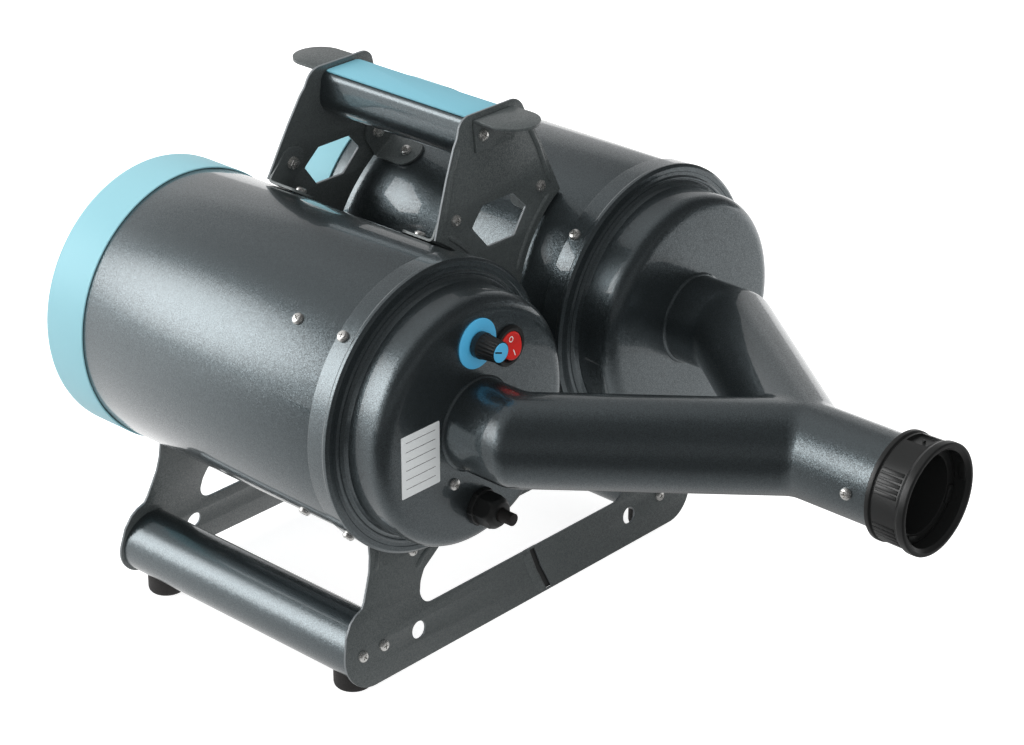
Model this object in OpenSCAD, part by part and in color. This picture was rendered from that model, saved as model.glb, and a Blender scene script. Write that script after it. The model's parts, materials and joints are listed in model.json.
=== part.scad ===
// Twin-drum pet dryer: two motor drums in a leaning sheet frame,
// joined at the front by a Y-shaped air pipe with a hose coupling.
// Millimetres. +Z up, the outlet points to -Y, the drums lie side by side along X.

/* [Drums] */
// outer radius of a drum shell
drum_r = 75; // [70:0.5:85]
// free gap between the two drum shells
drum_gap = 18; // [12:0.5:30]
// height of the drum axes above the floor
axis_z = 158.6; // [155:0.2:190]
// length of shell seen between front cover and rear cap
shell_len = 170; // [165:1:210]
// wall of the shell
shell_t = 1.2; // [0.8:0.1:1.6]
// length of the front cover ahead of its sleeve edge
cover_len = 40; // [38:0.5:50]
// wall of the front cover
cover_t = 1.5; // [1.2:0.1:2]
// how far the stepped nose is smaller than the shell
nose_step = 8.5; // [7:0.5:10]
// rounded edge of the nose
nose_round = 8.5; // [4:0.5:9]
// length of the rear cap
cap_len = 30; // [28:0.5:40]

/* [Air pipes] */
// outer radius of the air pipes
pipe_r = 23.8; // [20:0.1:25]
// wall of the air pipes
pipe_t = 2; // [1.5:0.1:3]
// straight length of each stub ahead of the drum face
stub_len = 27; // [24:0.5:40]
// how far forward the slanted branches run
branch_run = 107; // [95:1:130]
// sideways offset of the outlet from the middle plane
outlet_x = 4; // [0:0.5:6]
// straight outlet length from the junction to the coupling
outlet_len = 57; // [45:1:80]
// length of the hose coupling
coupling_len = 23; // [22:0.5:35]
// outer radius of the coupling rim
coupling_r = 28.5; // [28:0.1:31]

/* [Frame] */
// lean of the front end plate, degrees
lean_front = 5.8; // [5:0.1:9]
// lean of the rear end plate, degrees
lean_rear = 8.9; // [5:0.1:9.5]
// sheet thickness of the end plates
sheet_t = 1.5; // [1.2:0.1:2.5]
// height of the plate's lower edge above the floor
bar_z = 6.2; // [5:0.2:12]
// height of the base tube axes
tube_z = 25.8; // [25.4:0.2:32]
// outer radius of the base tubes
tube_r = 17.8; // [16:0.1:19]
// wall of the base tubes
tube_t = 1.5; // [1:0.1:2.5]
// sideways distance from drum axis to base tube axis
tube_out = 34; // [30:0.5:40]
// free gap between the drum and the plate's round cut-out
arc_gap = 2; // [1.5:0.1:4]
// height of the grip's flat top above the top of the shells
grip_rise = 46; // [44:0.5:60]
// half width of the grip
grip_hw = 14; // [12:0.5:16]
// radius of a rubber foot
foot_r = 10.4; // [9:0.1:12]

/* [Controls] */
// radius of the round rocker switch bezel
bezel_r = 10.8; // [10.4:0.1:11.4]
// radius of the dial disc behind the knob
dial_r = 13; // [12:0.1:13.2]
// radius of the speed knob at its skirt
knob_r = 6.8; // [6.2:0.1:8]
// how much narrower the knob is at its tip
knob_taper = 1.4; // [0.5:0.1:2]
// radius of the cable gland nut
gland_r = 9.5; // [8.5:0.1:10]
// radius of the mains cable
cable_r = 3.3; // [2.5:0.1:4]

/* [Fits] */
// running clearance of shafts, switch pivot and caps
run_fit = 0.05; // [0.02:0.01:0.1]
// clearance of fixed parts in their holes
hole_fit = 0.1; // [0.05:0.01:0.2]
// free gap between parts that move past each other
free_gap = 0.5; // [0.4:0.05:1]

/* [Hidden] */
$fn = 64;
drum_x = drum_r + drum_gap / 2;
skirt_r = drum_r + 2;
nose_r = drum_r - nose_step;
in_r = drum_r - shell_t;
face_y = -cover_len;
inner_y = face_y + cover_t;
bend_y = face_y - stub_len;
join_y = bend_y - branch_run;
weld = 0.4;
coup_y = join_y - outlet_len;
lip_y = coup_y - coupling_len;
cap_end = shell_len + cap_len;
seat_d = 11.5;
ys = -(lip_y + cap_end) / 2;
y_mid = shell_len / 2;
tube_x = drum_x + tube_out;
front_y0 = 0;
rear_y0 = 11.2;
arc_r = drum_r + arc_gap;
reach = 2 * (axis_z + shell_len);
bracket_r = drum_r + 15.4;
bracket_hw = 9;
grip_top = axis_z + drum_r + grip_rise;
grip_cz = grip_top - 13;
lobe_r = tube_z - bar_z;
web_z = axis_z - drum_r - 15.3;
up_z = axis_z + drum_r - 4;
ctrl_r = 43.4;
sw_r = 41.3;
sw_a = 56.4;
knob_x = -drum_x + 0.5;
knob_z = axis_z + ctrl_r;
sw_x = -drum_x + sw_r * cos(sw_a);
sw_z = axis_z + sw_r * sin(sw_a);
gland_x = -drum_x + 2;
gland_z = axis_z - 46.7;
screw_sh = 1.5;
screw_hd = 3.1;
ear_hw = 14.4;
skirt_sy = -3.8;
bulk_y = 28;
tab_in = 17;
bearing_r = 9.5;
shaft_r = 4;
fan_y0 = 96;
fan_y1 = 140;
fan_r = 62;
imp_r = fan_r - 7;
motor_r = 46;
rear_bulk = 144;
shaft_end = 131;
switch_r = bezel_r - 1.4;
rocker_r = switch_r - 1.8;
rock_y = face_y + 2;
rock_tilt = -9;
face_screw_r = 32;
tab_up = 35;
tab_low = 15;

// ---- helpers ----
module yc(r, ya, yb) {
  translate([0, ya, 0]) rotate([-90, 0, 0]) cylinder(r = r, h = yb - ya);
}

module yring(ro, ri, ya, yb) {
  difference() {
    yc(ro, ya, yb);
    yc(ri, ya - 1, yb + 1);
  }
}

module turn_y() {
  rotate([-90, 0, 0]) rotate_extrude($fn = 96) children();
}

module at_drum(s) {
  translate([s * drum_x, ys, axis_z]) children();
}

module radial(a, y) {
  rotate([0, -a, 0]) translate([0, y, 0]) rotate([0, 90, 0]) children();
}

// screw with a pan head, head seated on z = 0, shank going down
module pan(len) {
  cylinder(r = screw_hd, h = 1.3);
  translate([0, 0, 1.3]) cylinder(r1 = screw_hd, r2 = screw_hd - 1, h = 0.8);
  translate([0, 0, -len]) cylinder(r = screw_sh, h = len);
}

module nut(h) {
  difference() {
    cylinder(r = 3.2, h = h, $fn = 6);
    translate([0, 0, -1]) cylinder(r = screw_sh, h = h + 2);
  }
}

// local frame of the front plate: x across, y up the sheet, z outwards
module on_front() {
  translate([0, ys + $py, bar_z]) rotate([90 - $ln, 0, 0]) children();
}

// the front and the rear end of the frame; the rear one is mirrored
module front_end() {
  $ln = lean_front;
  $py = front_y0;
  $rear = false;
  children();
}

module rear_end() {
  $ln = lean_rear;
  $py = -rear_y0;
  $rear = true;
  translate([0, 2 * (ys + y_mid), 0]) mirror([0, 1, 0]) children();
}

function pv(z) = (z - bar_z) / cos($ln);

module front_slab(n0, n1) {
  on_front() translate([-reach, -reach, n0]) cube([2 * reach, 2 * reach, n1 - n0]);
}

module between_plates() {
  intersection() {
    children();
    front_end() front_slab(-reach, -sheet_t);
    rear_end() front_slab(-reach, -sheet_t);
  }
}

// angles of the frame tabs around a drum
function tab_a(s, up) = up ? 90 + s * tab_up : 270 + s * tab_low;
function plate_f(z) = front_y0 + (z - bar_z) * tan(lean_front);
function plate_r(z) = -rear_y0 + (z - bar_z) * tan(lean_rear);
function tab_zc(s, up) = axis_z + (drum_r + 1) * sin(tab_a(s, up));
function tab_f(s, up) = plate_f(tab_zc(s, up)) + tab_in + 2;
function tab_r(s, up) = plate_r(tab_zc(s, up)) + tab_in + 2;
function bracket_x() = drum_x + bracket_r * cos(tab_a(1, true));
function bracket_z() = axis_z + bracket_r * sin(tab_a(1, true));
function foot_f() = plate_f(tube_z) + 15.2;
function foot_r_y() = plate_r(tube_z) + 15.2;

// ---- drums ----
module shell(s) {
  color("#4b4f52") at_drum(s) difference() {
    yring(drum_r, in_r, -8, shell_len + 12);
    for (a = [45, 135, 225, 315]) {
      radial(a, skirt_sy) translate([0, 0, 60]) cylinder(r = screw_sh + hole_fit, h = 40);
      radial(a, bulk_y + 1) translate([0, 0, 60]) cylinder(r = screw_sh + hole_fit, h = 40);
    }
    for (up = [true, false]) {
      for (y = [tab_f(s, up), 2 * y_mid - tab_r(s, up)]) {
        radial(tab_a(s, up), y) translate([0, 0, 60]) cylinder(r = screw_sh + hole_fit, h = 40);
      }
    }
    radial(s > 0 ? 180 : 0, 60) translate([0, 0, 60]) cylinder(r = 5 + hole_fit, h = 40);
  }
}

module cover_outer() {
  translate([0, -14]) square([skirt_r, 14]);
  translate([0, -13]) square([skirt_r + 0.5, 2]);
  translate([0, face_y + nose_round]) square([nose_r, -face_y - nose_round - 1]);
  translate([0, face_y]) square([nose_r - nose_round, -face_y - 1]);
  translate([nose_r - nose_round, face_y + nose_round]) circle(r = nose_round);
  difference() {
    translate([nose_r - 1, -18]) square([5, 5]);
    translate([nose_r + 4, -18]) circle(r = 4);
  }
}

module cover_inner() {
  r = nose_r - cover_t;
  f = nose_round - cover_t;
  translate([0, -9]) square([drum_r + hole_fit, 20]);
  translate([0, inner_y + f]) square([r, -inner_y]);
  translate([0, inner_y]) square([r - f, -inner_y]);
  translate([r - f, inner_y + f]) circle(r = f);
}

module cover_blank() {
  turn_y() intersection() {
    difference() {
      cover_outer();
      cover_inner();
    }
    translate([0, face_y - 5]) square([reach, reach]);
  }
}

module cover_holes() {
  yc(pipe_r + hole_fit, face_y - 5, inner_y + 5);
  for (a = [239, 359]) {
    rotate([0, -a, 0]) translate([face_screw_r, 0, 0]) yc(screw_sh + hole_fit, face_y - 5, inner_y + 5);
  }
  for (a = [45, 135, 225, 315]) {
    radial(a, skirt_sy) translate([0, 0, 60]) cylinder(r = screw_sh + hole_fit, h = 40);
  }
}

module cover_a() {
  color("#4b4f52") difference() {
    at_drum(-1) difference() {
      cover_blank();
      cover_holes();
    }
    translate([knob_x, ys, knob_z]) yc(4 + hole_fit, face_y - 5, inner_y + 5);
    translate([sw_x, ys, sw_z]) yc(switch_r, face_y - 5, inner_y + 5);
    translate([gland_x, ys, gland_z]) yc(7.5 + hole_fit, face_y - 5, inner_y + 5);
  }
}

module cover_b() {
  color("#4b4f52") at_drum(1) difference() {
    cover_blank();
    cover_holes();
  }
}

module cap_profile() {
  difference() {
    union() {
      translate([0, shell_len]) square([drum_r + 1, cap_len - 4]);
      translate([0, shell_len]) square([drum_r - 3, cap_len]);
      translate([drum_r - 3, cap_end - 4]) circle(r = 4);
    }
    translate([0, shell_len - 1]) square([drum_r + run_fit, 13.5]);
    translate([0, shell_len]) square([drum_r - 4, 16]);
    translate([0, shell_len + 15]) square([drum_r - 2, cap_len - 17.5]);
    square([drum_r - 13, reach]);
  }
}

module cap(s) {
  color("#8fd3e3") at_drum(s) {
    turn_y() cap_profile();
    for (r = [12 : 7 : drum_r - 16]) {
      yring(r + 1.6, r - 1.6, cap_end - 2.5, cap_end - 0.5);
    }
    difference() {
      for (a = [0, 60, 120]) {
        rotate([0, a, 0]) translate([-drum_r + 12, cap_end - 2.5, -1.6]) cube([2 * drum_r - 24, 2, 3.2]);
      }
      yc(3, cap_end - 5, cap_end + 5);
    }
    yring(6, 3, cap_end - 2.5, cap_end - 0.5);
  }
}

module filter(s) {
  color("#3a3d3c") at_drum(s) yc(drum_r - 2.1, shell_len + 16.1, cap_end - 2.6);
}

module liner(s) {
  color("#55585a") at_drum(s) difference() {
    yring(in_r - 0.1, max(fan_r + 3.8, in_r - 8), bulk_y + 8, rear_bulk - 2);
    radial(s > 0 ? 180 : 0, 60) translate([0, 0, 50]) cylinder(r = 6, h = 40);
  }
}

module bulkheads(s) {
  color("#9aa0a3") at_drum(s) difference() {
    union() {
      yring(in_r, 37, bulk_y, bulk_y + 2);
      yring(in_r, in_r - 1.5, bulk_y - 4, bulk_y + 6);
      yring(in_r, 42, rear_bulk, rear_bulk + 2);
      yring(in_r, in_r - 1.5, rear_bulk, rear_bulk + 8);
    }
    for (a = [45, 135, 225, 315]) {
      radial(a, bulk_y + 1) translate([0, 0, 60]) cylinder(r = screw_sh + hole_fit, h = 40);
    }
    for (a = [30 : 60 : 330]) {
      rotate([0, a, 0]) translate([59, 0, 0]) yc(9, bulk_y - 1, bulk_y + 3);
    }
  }
}

module rubber(s) {
  color("#202122") at_drum(s) {
    yring(motor_r, 38, bulk_y + 2, bulk_y + 6);
    yring(58, 44, fan_y1, rear_bulk);
  }
}

module motor_cup(s) {
  color("#8b9093") at_drum(s) difference() {
    union() {
      yring(motor_r, motor_r - 2.5, bulk_y + 6, fan_y0);
      yc(motor_r, bulk_y + 6, bulk_y + 8.5);
      yc(12, bulk_y + 6, bulk_y + 15);
    }
    yc(bearing_r, bulk_y + 8, bulk_y + 16);
    yc(shaft_r + 1, bulk_y + 5, bulk_y + 16);
    for (a = [0 : 45 : 315]) {
      rotate([0, a, 0]) translate([27, 0, 0]) yc(8, bulk_y + 5, bulk_y + 9);
    }
  }
}

module fan_case(s) {
  color("#a3a7a9") at_drum(s) difference() {
    union() {
      yring(fan_r, fan_r - 2, fan_y0, fan_y1);
      yc(fan_r - 1, fan_y0, fan_y0 + 2.5);
      yc(fan_r - 1, fan_y1 - 2, fan_y1);
      yc(12, fan_y0, fan_y0 + 8.5);
    }
    yc(24, fan_y1 - 3, fan_y1 + 1);
    yc(bearing_r, fan_y0 + 1.5, fan_y0 + 9);
    yc(shaft_r + 1, fan_y0 - 1, fan_y0 + 9);
    for (a = [0 : 36 : 324]) {
      rotate([0, a, 0]) translate([30, 0, 0]) yc(7, fan_y0 - 1, fan_y0 + 3);
    }
  }
}

module stator(s) {
  color("#7a5236") at_drum(s) {
    yring(motor_r - 2.5, 24.8, 62, 86);
    yring(motor_r - 6, 28, 57, 62);
    yring(motor_r - 6, 28, 86, 91);
  }
}

module rotor(s) {
  color("#9a9da0") at_drum(s) {
    yc(shaft_r, bulk_y + 8.5, shaft_end);
    yc(24, 62, 86);
    yc(18, 57, 91);
    yc(13, 46, 55);
    yc(7, shaft_end - 3, shaft_end);
  }
}

module impeller(s) {
  color("#c3c6c8") at_drum(s) difference() {
    union() {
      yc(imp_r, 108, 109.5);
      yring(imp_r, 24, 124.5, 126);
      yc(11, 107, 127.9);
      for (a = [0 : 40 : 320]) {
        rotate([0, a, 0]) translate([22, 109, 0]) rotate([0, 25, 0]) cube([imp_r - 24, 16, 1.2]);
      }
    }
    yc(shaft_r, 100, 140);
  }
}

module bearings(s) {
  color("#b9bcbe") at_drum(s) {
    yring(bearing_r, shaft_r + run_fit, bulk_y + 8, bulk_y + 14);
    yring(bearing_r, shaft_r + run_fit, fan_y0 + 1.5, fan_y0 + 7.5);
  }
}

module brushes(s) {
  color("#3b2f24") at_drum(s) for (a = [0, 180]) {
    rotate([0, a, 0]) translate([13 + free_gap, 47, -4]) cube([motor_r - 2.5 - 13.2 - free_gap, 7, 8]);
  }
}

// ---- air pipes ----
// stubs, slanted branches and outlet, with a rounded weld at each joint
module y_pipe(r, ya, yb) {
  for (s = [-1, 1]) translate([s * drum_x, bend_y, 0]) {
    run = drum_x - s * outlet_x;
    yc(r, 0, yb - bend_y);
    rotate([90, 0, 0]) sphere(r = r + weld);
    rotate([0, 0, -s * atan2(run, branch_run)]) yc(r, -norm([run, branch_run]), 0);
  }
  translate([outlet_x, join_y, 0]) {
    rotate([90, 0, 0]) sphere(r = r + weld);
    yc(r, ya - join_y, 0);
  }
}

module manifold() {
  color("#4b4f52") translate([0, ys, axis_z]) difference() {
    union() {
      y_pipe(pipe_r, coup_y - seat_d, inner_y + 4);
      for (s = [-1, 1]) {
        translate([s * drum_x, 0, 0]) {
          yc(30, inner_y + 2, inner_y + 4.5);
          for (a = [239, 359]) {
            rotate([0, -a, 0]) translate([face_screw_r, 0, 0]) yc(4.5, inner_y + 2, inner_y + 4.5);
          }
        }
      }
    }
    y_pipe(pipe_r - pipe_t, coup_y - 20, inner_y + 10);
    for (s = [-1, 1]) {
      translate([s * drum_x, 0, 0]) for (a = [239, 359]) {
        rotate([0, -a, 0]) translate([face_screw_r, 0, 0]) yc(screw_sh + hole_fit, inner_y, inner_y + 8);
      }
    }
    translate([outlet_x, coup_y + 13, 0]) rotate([0, -90, 0]) cylinder(r = screw_sh + hole_fit, h = 40);
  }
}

module gaskets() {
  color("#1e1f20") for (s = [-1, 1]) {
    at_drum(s) difference() {
      union() {
        yc(30, inner_y, inner_y + 2);
        for (a = [239, 359]) {
          rotate([0, -a, 0]) translate([face_screw_r, 0, 0]) yc(4.5, inner_y, inner_y + 2);
        }
      }
      yc(pipe_r + hole_fit, inner_y - 1, inner_y + 3);
      for (a = [239, 359]) {
        rotate([0, -a, 0]) translate([face_screw_r, 0, 0]) yc(screw_sh + hole_fit, inner_y - 1, inner_y + 3);
      }
    }
  }
}

module coupling() {
  color("#1b1c1c") translate([outlet_x, ys, axis_z]) difference() {
    union() {
      yc(coupling_r - 1.6, coup_y - 3, coup_y);
      yc(coupling_r - 1.8, lip_y + 4, coup_y - 2);
      yc(coupling_r, lip_y + 1.5, lip_y + 5);
      translate([0, lip_y + 1.5, 0]) rotate([90, 0, 0]) cylinder(r1 = coupling_r, r2 = coupling_r - 1.5, h = 1.5);
      for (a = [-30, -150, -210, -330]) {
        for (b = [-10, -3.3, 3.3, 10]) {
          rotate([0, a + b, 0]) translate([coupling_r - 2.4, lip_y + 4.5, -0.8]) cube([1.3, coupling_len - 9, 1.6]);
        }
      }
    }
    yc(pipe_r + hole_fit, coup_y - seat_d - 3, coup_y + 1);
    yc(pipe_r + 1.1, coup_y - seat_d - 3.3, coup_y - seat_d - 2.8);
    yc(pipe_r + 0.6, lip_y - 1, coup_y - seat_d - 3.2);
    for (a = [-83, -263]) {
      rotate([0, a, 0]) translate([pipe_r + 1.7, lip_y + 6.5, -6.5]) cube([10, 11.5, 13]);
    }
  }
}

module coupling_ring() {
  color("#2a2b2b") translate([outlet_x, ys, axis_z]) difference() {
    union() {
      yring(pipe_r, pipe_r - pipe_t - 2, coup_y - seat_d - 2.7, coup_y - seat_d);
      yring(pipe_r - pipe_t, pipe_r - pipe_t - 2, coup_y - seat_d - 1, coup_y + 18);
    }
    for (a = [20, 110]) {
      rotate([0, a, 0]) translate([-40, coup_y - seat_d - 4, -4]) cube([80, 2.5, 8]);
    }
    translate([0, coup_y + 13, 0]) rotate([0, -90, 0]) cylinder(r = screw_sh, h = 40);
  }
}

// ---- frame ----
module plate_half() {
  polygon([
    [-0.01, 0], [tube_x + 2, 0], [tube_x + 19.2, pv(tube_z + 5)], [tube_x + 17, pv(tube_z + 13.6)],
    [tube_x + 12.4, pv(tube_z + 21.8)], [tube_x + 9, pv(tube_z + 23.4)], [tube_x + 4.3, pv(tube_z + 25.3)],
    [tube_x + 2.2, pv(tube_z + 28.8)], [tube_x - 0.7, pv(tube_z + 36)], [tube_x - 4.3, pv(tube_z + 45.6)],
    [tube_x - 5, pv(tube_z + 55.3)], [tube_x - 4, pv(axis_z - drum_r + 15)],
    [drum_x, pv(axis_z)], [47, pv(up_z - 2.4)], [40.3, pv(up_z + 14)], [35.5, pv(up_z + 25.4)],
    [28.6, pv(up_z + 39.9)], [24.4, pv(grip_top - 4.2)], [15, pv(grip_top + 4.1)], [-0.01, pv(grip_top + 4.1)]
  ]);
  translate([tube_x, pv(tube_z)]) circle(r = lobe_r);
  translate([15.6, pv(grip_top - 5.2)]) circle(r = 9.2);
}

module opening_half() {
  z0 = bar_z + 29.3;
  translate([-0.01, pv(z0)]) square([drum_x - 12, pv(web_z) - pv(z0)]);
  polygon([
    [0, pv(z0)], [drum_x - 12, pv(z0)], [drum_x - 3.3, pv(z0 + 9)], [drum_x - 4.2, pv(z0 + 14.5)],
    [drum_x - 7.5, pv(z0 + 20.3)], [drum_x - 15, pv(z0 + 25)], [drum_x - 26, pv(web_z - 0.5)], [0, pv(web_z)]
  ]);
  translate([drum_x - 12, pv(z0) + 9]) circle(r = 9);
}

module hex_hole() {
  polygon([
    [11.4, pv(up_z + 5)], [20.5, pv(up_z - 4.6)], [10, pv(up_z - 17.5)],
    [-10, pv(up_z - 17.5)], [-20.5, pv(up_z - 4.6)], [-11.4, pv(up_z + 5)]
  ]);
}

// tongue that joins a lower tab to the sheet
module tab_root(s) {
  translate([s * drum_x, 0, axis_z]) rotate([0, -tab_a(s, false), 0]) {
    translate([drum_r + 0.02, ys - 20, -bracket_hw]) cube([arc_gap + 2, 100, 2 * bracket_hw]);
  }
}

// leg of an upper bracket, on the inner face of the sheet
module bracket_leg(s) {
  translate([s * drum_x, ys, axis_z]) rotate([0, -tab_a(s, true), 0]) {
    translate([drum_r + 0.2, -20, -bracket_hw]) cube([bracket_r - drum_r + 7, 120, 2 * bracket_hw]);
  }
}

module tab_body(s, up) {
  y1 = $rear ? tab_r(s, up) : tab_f(s, up);
  translate([s * drum_x, ys, axis_z]) rotate([0, -tab_a(s, up), 0]) difference() {
    union() {
      translate([drum_r + 0.02, -30, -bracket_hw]) cube([sheet_t, y1 + 30, 2 * bracket_hw]);
      translate([drum_r + 0.02, y1, 0]) rotate([0, 90, 0]) cylinder(r = bracket_hw, h = sheet_t);
    }
    translate([60, y1, 0]) rotate([0, 90, 0]) cylinder(r = screw_sh + hole_fit, h = 40);
  }
}

module plate_solid() {
  difference() {
    union() {
      difference() {
        on_front() {
          translate([0, 0, -sheet_t]) linear_extrude(height = sheet_t) difference() {
            union() {
              plate_half();
              mirror([1, 0]) plate_half();
            }
            opening_half();
            mirror([1, 0]) opening_half();
            hex_hole();
            for (s = [-1, 1]) {
              translate([s * (drum_x + 0.3), pv(tube_z - 2.3)]) circle(r = 4.9);
            }
          }
        }
        for (s = [-1, 1]) {
          at_drum(s) yc(arc_r, -30, 60);
        }
      }
      intersection() {
        front_slab(-sheet_t, 0);
        union() {
          for (s = [-1, 1]) {
            tab_root(s);
          }
        }
      }
      intersection() {
        front_slab(-90, 0);
        union() {
          for (s = [-1, 1]) {
            tab_body(s, false);
          }
        }
      }
      intersection() {
        front_slab(-90, -sheet_t - 0.2);
        union() {
          for (s = [-1, 1]) {
            tab_body(s, true);
          }
        }
      }
      intersection() {
        front_slab(-2 * sheet_t, 0.4 - sheet_t);
        union() {
          for (s = [-1, 1]) {
            bracket_leg(s);
          }
        }
      }
    }
    on_front() for (p = plate_screws()) {
      translate([p[0], p[1], -20]) cylinder(r = screw_sh + hole_fit, h = 40);
    }
  }
}

function plate_screws() = [
  for (s = [-1, 1]) for (q = [
    [s * (tube_x - 7.6), pv(tube_z)], [s * (tube_x + 7.6), pv(tube_z)],
    [s * bracket_x(), pv(bracket_z())], [s * 8.8, pv(grip_top - 8.2)], [s * drum_x, pv(web_z + 1)]
  ]) q
];

module plate_front() {
  color("#45494a") front_end() plate_solid();
}

module plate_rear() {
  color("#45494a") rear_end() plate_solid();
}

module base_tube(s) {
  color("#4b4f52") between_plates() translate([s * tube_x, ys, tube_z]) difference() {
    yring(tube_r, tube_r - tube_t, -30, shell_len + 30);
    for (y = [foot_f(), 2 * y_mid - foot_r_y()]) {
      translate([0, y, -30]) cylinder(r = screw_sh + hole_fit, h = 30);
    }
  }
}

module plug_at(s) {
  intersection() {
    front_slab(-sheet_t - 12, -sheet_t);
    translate([s * tube_x, ys, tube_z]) yc(tube_r - tube_t, -30, 60);
  }
}

module plugs_at_end(fy) {
  difference() {
    for (s = [-1, 1]) {
      plug_at(s);
    }
    on_front() for (s = [-1, 1]) for (d = [-7.6, 7.6]) {
      translate([s * tube_x + d, pv(tube_z), -13]) cylinder(r = screw_sh, h = 40);
    }
    for (s = [-1, 1]) {
      translate([s * tube_x, ys + fy, 0]) cylinder(r = 4, h = 20);
    }
  }
}

module plugs() {
  color("#26282a") {
    front_end() plugs_at_end(foot_f());
    rear_end() plugs_at_end(foot_r_y());
  }
}

module feet() {
  color("#2a2826") for (s = [-1, 1]) for (y = [foot_f(), 2 * y_mid - foot_r_y()]) {
    difference() {
      translate([s * tube_x, ys + y, 0]) {
        cylinder(r1 = foot_r - 1, r2 = foot_r, h = 2);
        translate([0, 0, 2]) cylinder(r = foot_r, h = tube_z - tube_r + 2);
      }
      translate([s * tube_x, ys, tube_z]) yc(tube_r, -30, shell_len + 30);
      translate([s * tube_x, ys + y, -1]) cylinder(r = screw_hd + 0.2, h = 4);
      translate([s * tube_x, ys + y, -1]) cylinder(r = screw_sh + hole_fit, h = 30);
    }
  }
}

module grip() {
  color("#45494a") difference() {
    between_plates() translate([0, ys + shell_len, grip_cz]) rotate([90, 0, 0]) {
      linear_extrude(height = shell_len) {
        intersection() {
          circle(r = grip_hw);
          translate([-20, -20]) square([40, 20]);
        }
        translate([-grip_hw, -0.01]) square([2 * grip_hw, 10.01]);
        translate([-grip_hw + 3, 0]) square([2 * grip_hw - 6, 13]);
        for (s = [-1, 1]) {
          translate([s * (grip_hw - 3), 10]) circle(r = 3);
        }
      }
    }
    front_end() grip_bores();
    rear_end() grip_bores();
  }
}

module grip_bores() {
  on_front() for (s = [-1, 1]) {
    translate([s * 8.8, pv(grip_top - 8.2), -18]) cylinder(r = screw_sh, h = 20);
  }
}

module name_plate() {
  ya = plate_f(grip_top) + sheet_t + 1.6;
  yb = 2 * y_mid - plate_r(grip_top) - sheet_t - 0.8;
  color("#76c5de") translate([2 - grip_hw, ys + ya, grip_top]) {
    cube([2 * grip_hw - 4, yb - ya, 0.8]);
  }
}

module ear_solid(tip) {
  difference() {
    union() {
      intersection() {
        front_slab(0, sheet_t);
        translate([-ear_hw, ys - 30, grip_top - 16]) cube([2 * ear_hw, 80, 18]);
      }
      difference() {
        translate([0, ys, grip_top]) {
          translate([-ear_hw, tip + ear_hw, 0]) cube([2 * ear_hw, 40, sheet_t]);
          translate([0, tip + ear_hw, 0]) cylinder(r = ear_hw, h = sheet_t);
        }
        front_slab(-60, 0);
      }
    }
    on_front() for (s = [-1, 1]) {
      translate([s * 8.8, pv(grip_top - 8.2), -5]) cylinder(r = screw_sh + hole_fit, h = 12);
    }
  }
}

module ear_front() {
  color("#45494a") front_end() ear_solid(plate_f(grip_top) - 29.4);
}

module ear_rear() {
  color("#45494a") rear_end() ear_solid(plate_r(grip_top) - 29.4);
}

// ---- controls on the near drum face ----
module at_knob() {
  translate([knob_x, ys, knob_z]) children();
}

module at_switch() {
  translate([sw_x, ys, sw_z]) children();
}

module at_gland() {
  translate([gland_x, ys, gland_z]) children();
}

module dial() {
  color("#43a0d6") at_knob() yring(dial_r, 4 + hole_fit, face_y - 1, face_y);
}

module speed_pot() {
  color("#3c4043") at_knob() difference() {
    union() {
      yc(8.4, inner_y, inner_y + 9);
      yc(4, face_y - 2.5, inner_y + 1);
    }
    yc(3 + run_fit, face_y - 5, inner_y + 6.5);
  }
  color("#b7b9ba") at_knob() for (x = [-5, 0, 5]) {
    translate([x - 0.4, inner_y + 9, -2]) cube([0.8, 6, 4]);
  }
}

module knob() {
  tip = knob_r - knob_taper;
  color("#202223") at_knob() difference() {
    union() {
      yc(knob_r, face_y - 5, face_y - 1.6);
      translate([0, face_y - 5, 0]) rotate([90, 0, 0]) cylinder(r1 = knob_r - 0.3, r2 = tip, h = 11);
      yc(3, face_y - 15, inner_y + 6);
      for (a = [0 : 30 : 330]) {
        rotate([0, a, 0]) translate([knob_r - 0.9, face_y - 4.5, -0.5]) {
          rotate([0, 0, -atan2(knob_taper - 0.3, 11)]) translate([0, -11, 0]) cube([1, 11, 1]);
        }
      }
    }
    difference() {
      yc(4.6, face_y - 4.6, face_y - 1);
      yc(3, face_y - 6, face_y);
    }
    yc(tip - 0.8, face_y - 16.5, face_y - 14.8);
  }
}

module knob_cap() {
  color("#43a0d6") at_knob() difference() {
    yc(knob_r - knob_taper - 0.8, face_y - 16.3, face_y - 14.8);
    rotate([0, 20, 0]) translate([-knob_r, face_y - 17, -0.5]) cube([knob_r, 1.1, 1]);
  }
}

module switch_body() {
  color("#1c1d1d") at_switch() difference() {
    union() {
      yc(bezel_r, face_y - 2, face_y);
      yc(switch_r - hole_fit, face_y - 1, inner_y + 16);
    }
    yc(rocker_r + 0.9, face_y - 3, rock_y + 6.5);
    rotate([0, 90, 0]) translate([0, rock_y, -bezel_r]) cylinder(r = 1.5 + run_fit, h = 2 * bezel_r);
  }
  color("#b7b9ba") at_switch() for (z = [-5, 0, 5]) {
    translate([-2, inner_y + 16, z - 0.4]) cube([4, 6, 0.8]);
  }
}

module rocker() {
  color("#d8302c") at_switch() translate([0, rock_y, 0]) rotate([rock_tilt, 0, 0]) {
    difference() {
      yc(rocker_r, -7.2, 1.6);
      for (s = [-1, 1]) {
        translate([-20, -7.2 - 6, 0]) rotate([s * 8, 0, 0]) translate([0, 0, s > 0 ? -20 : 0]) cube([40, 7.6, 20]);
      }
    }
    rotate([0, 90, 0]) translate([0, 0, -rocker_r - 1.3]) cylinder(r = 1.5, h = 2 * rocker_r + 2.6);
  }
}

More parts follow.
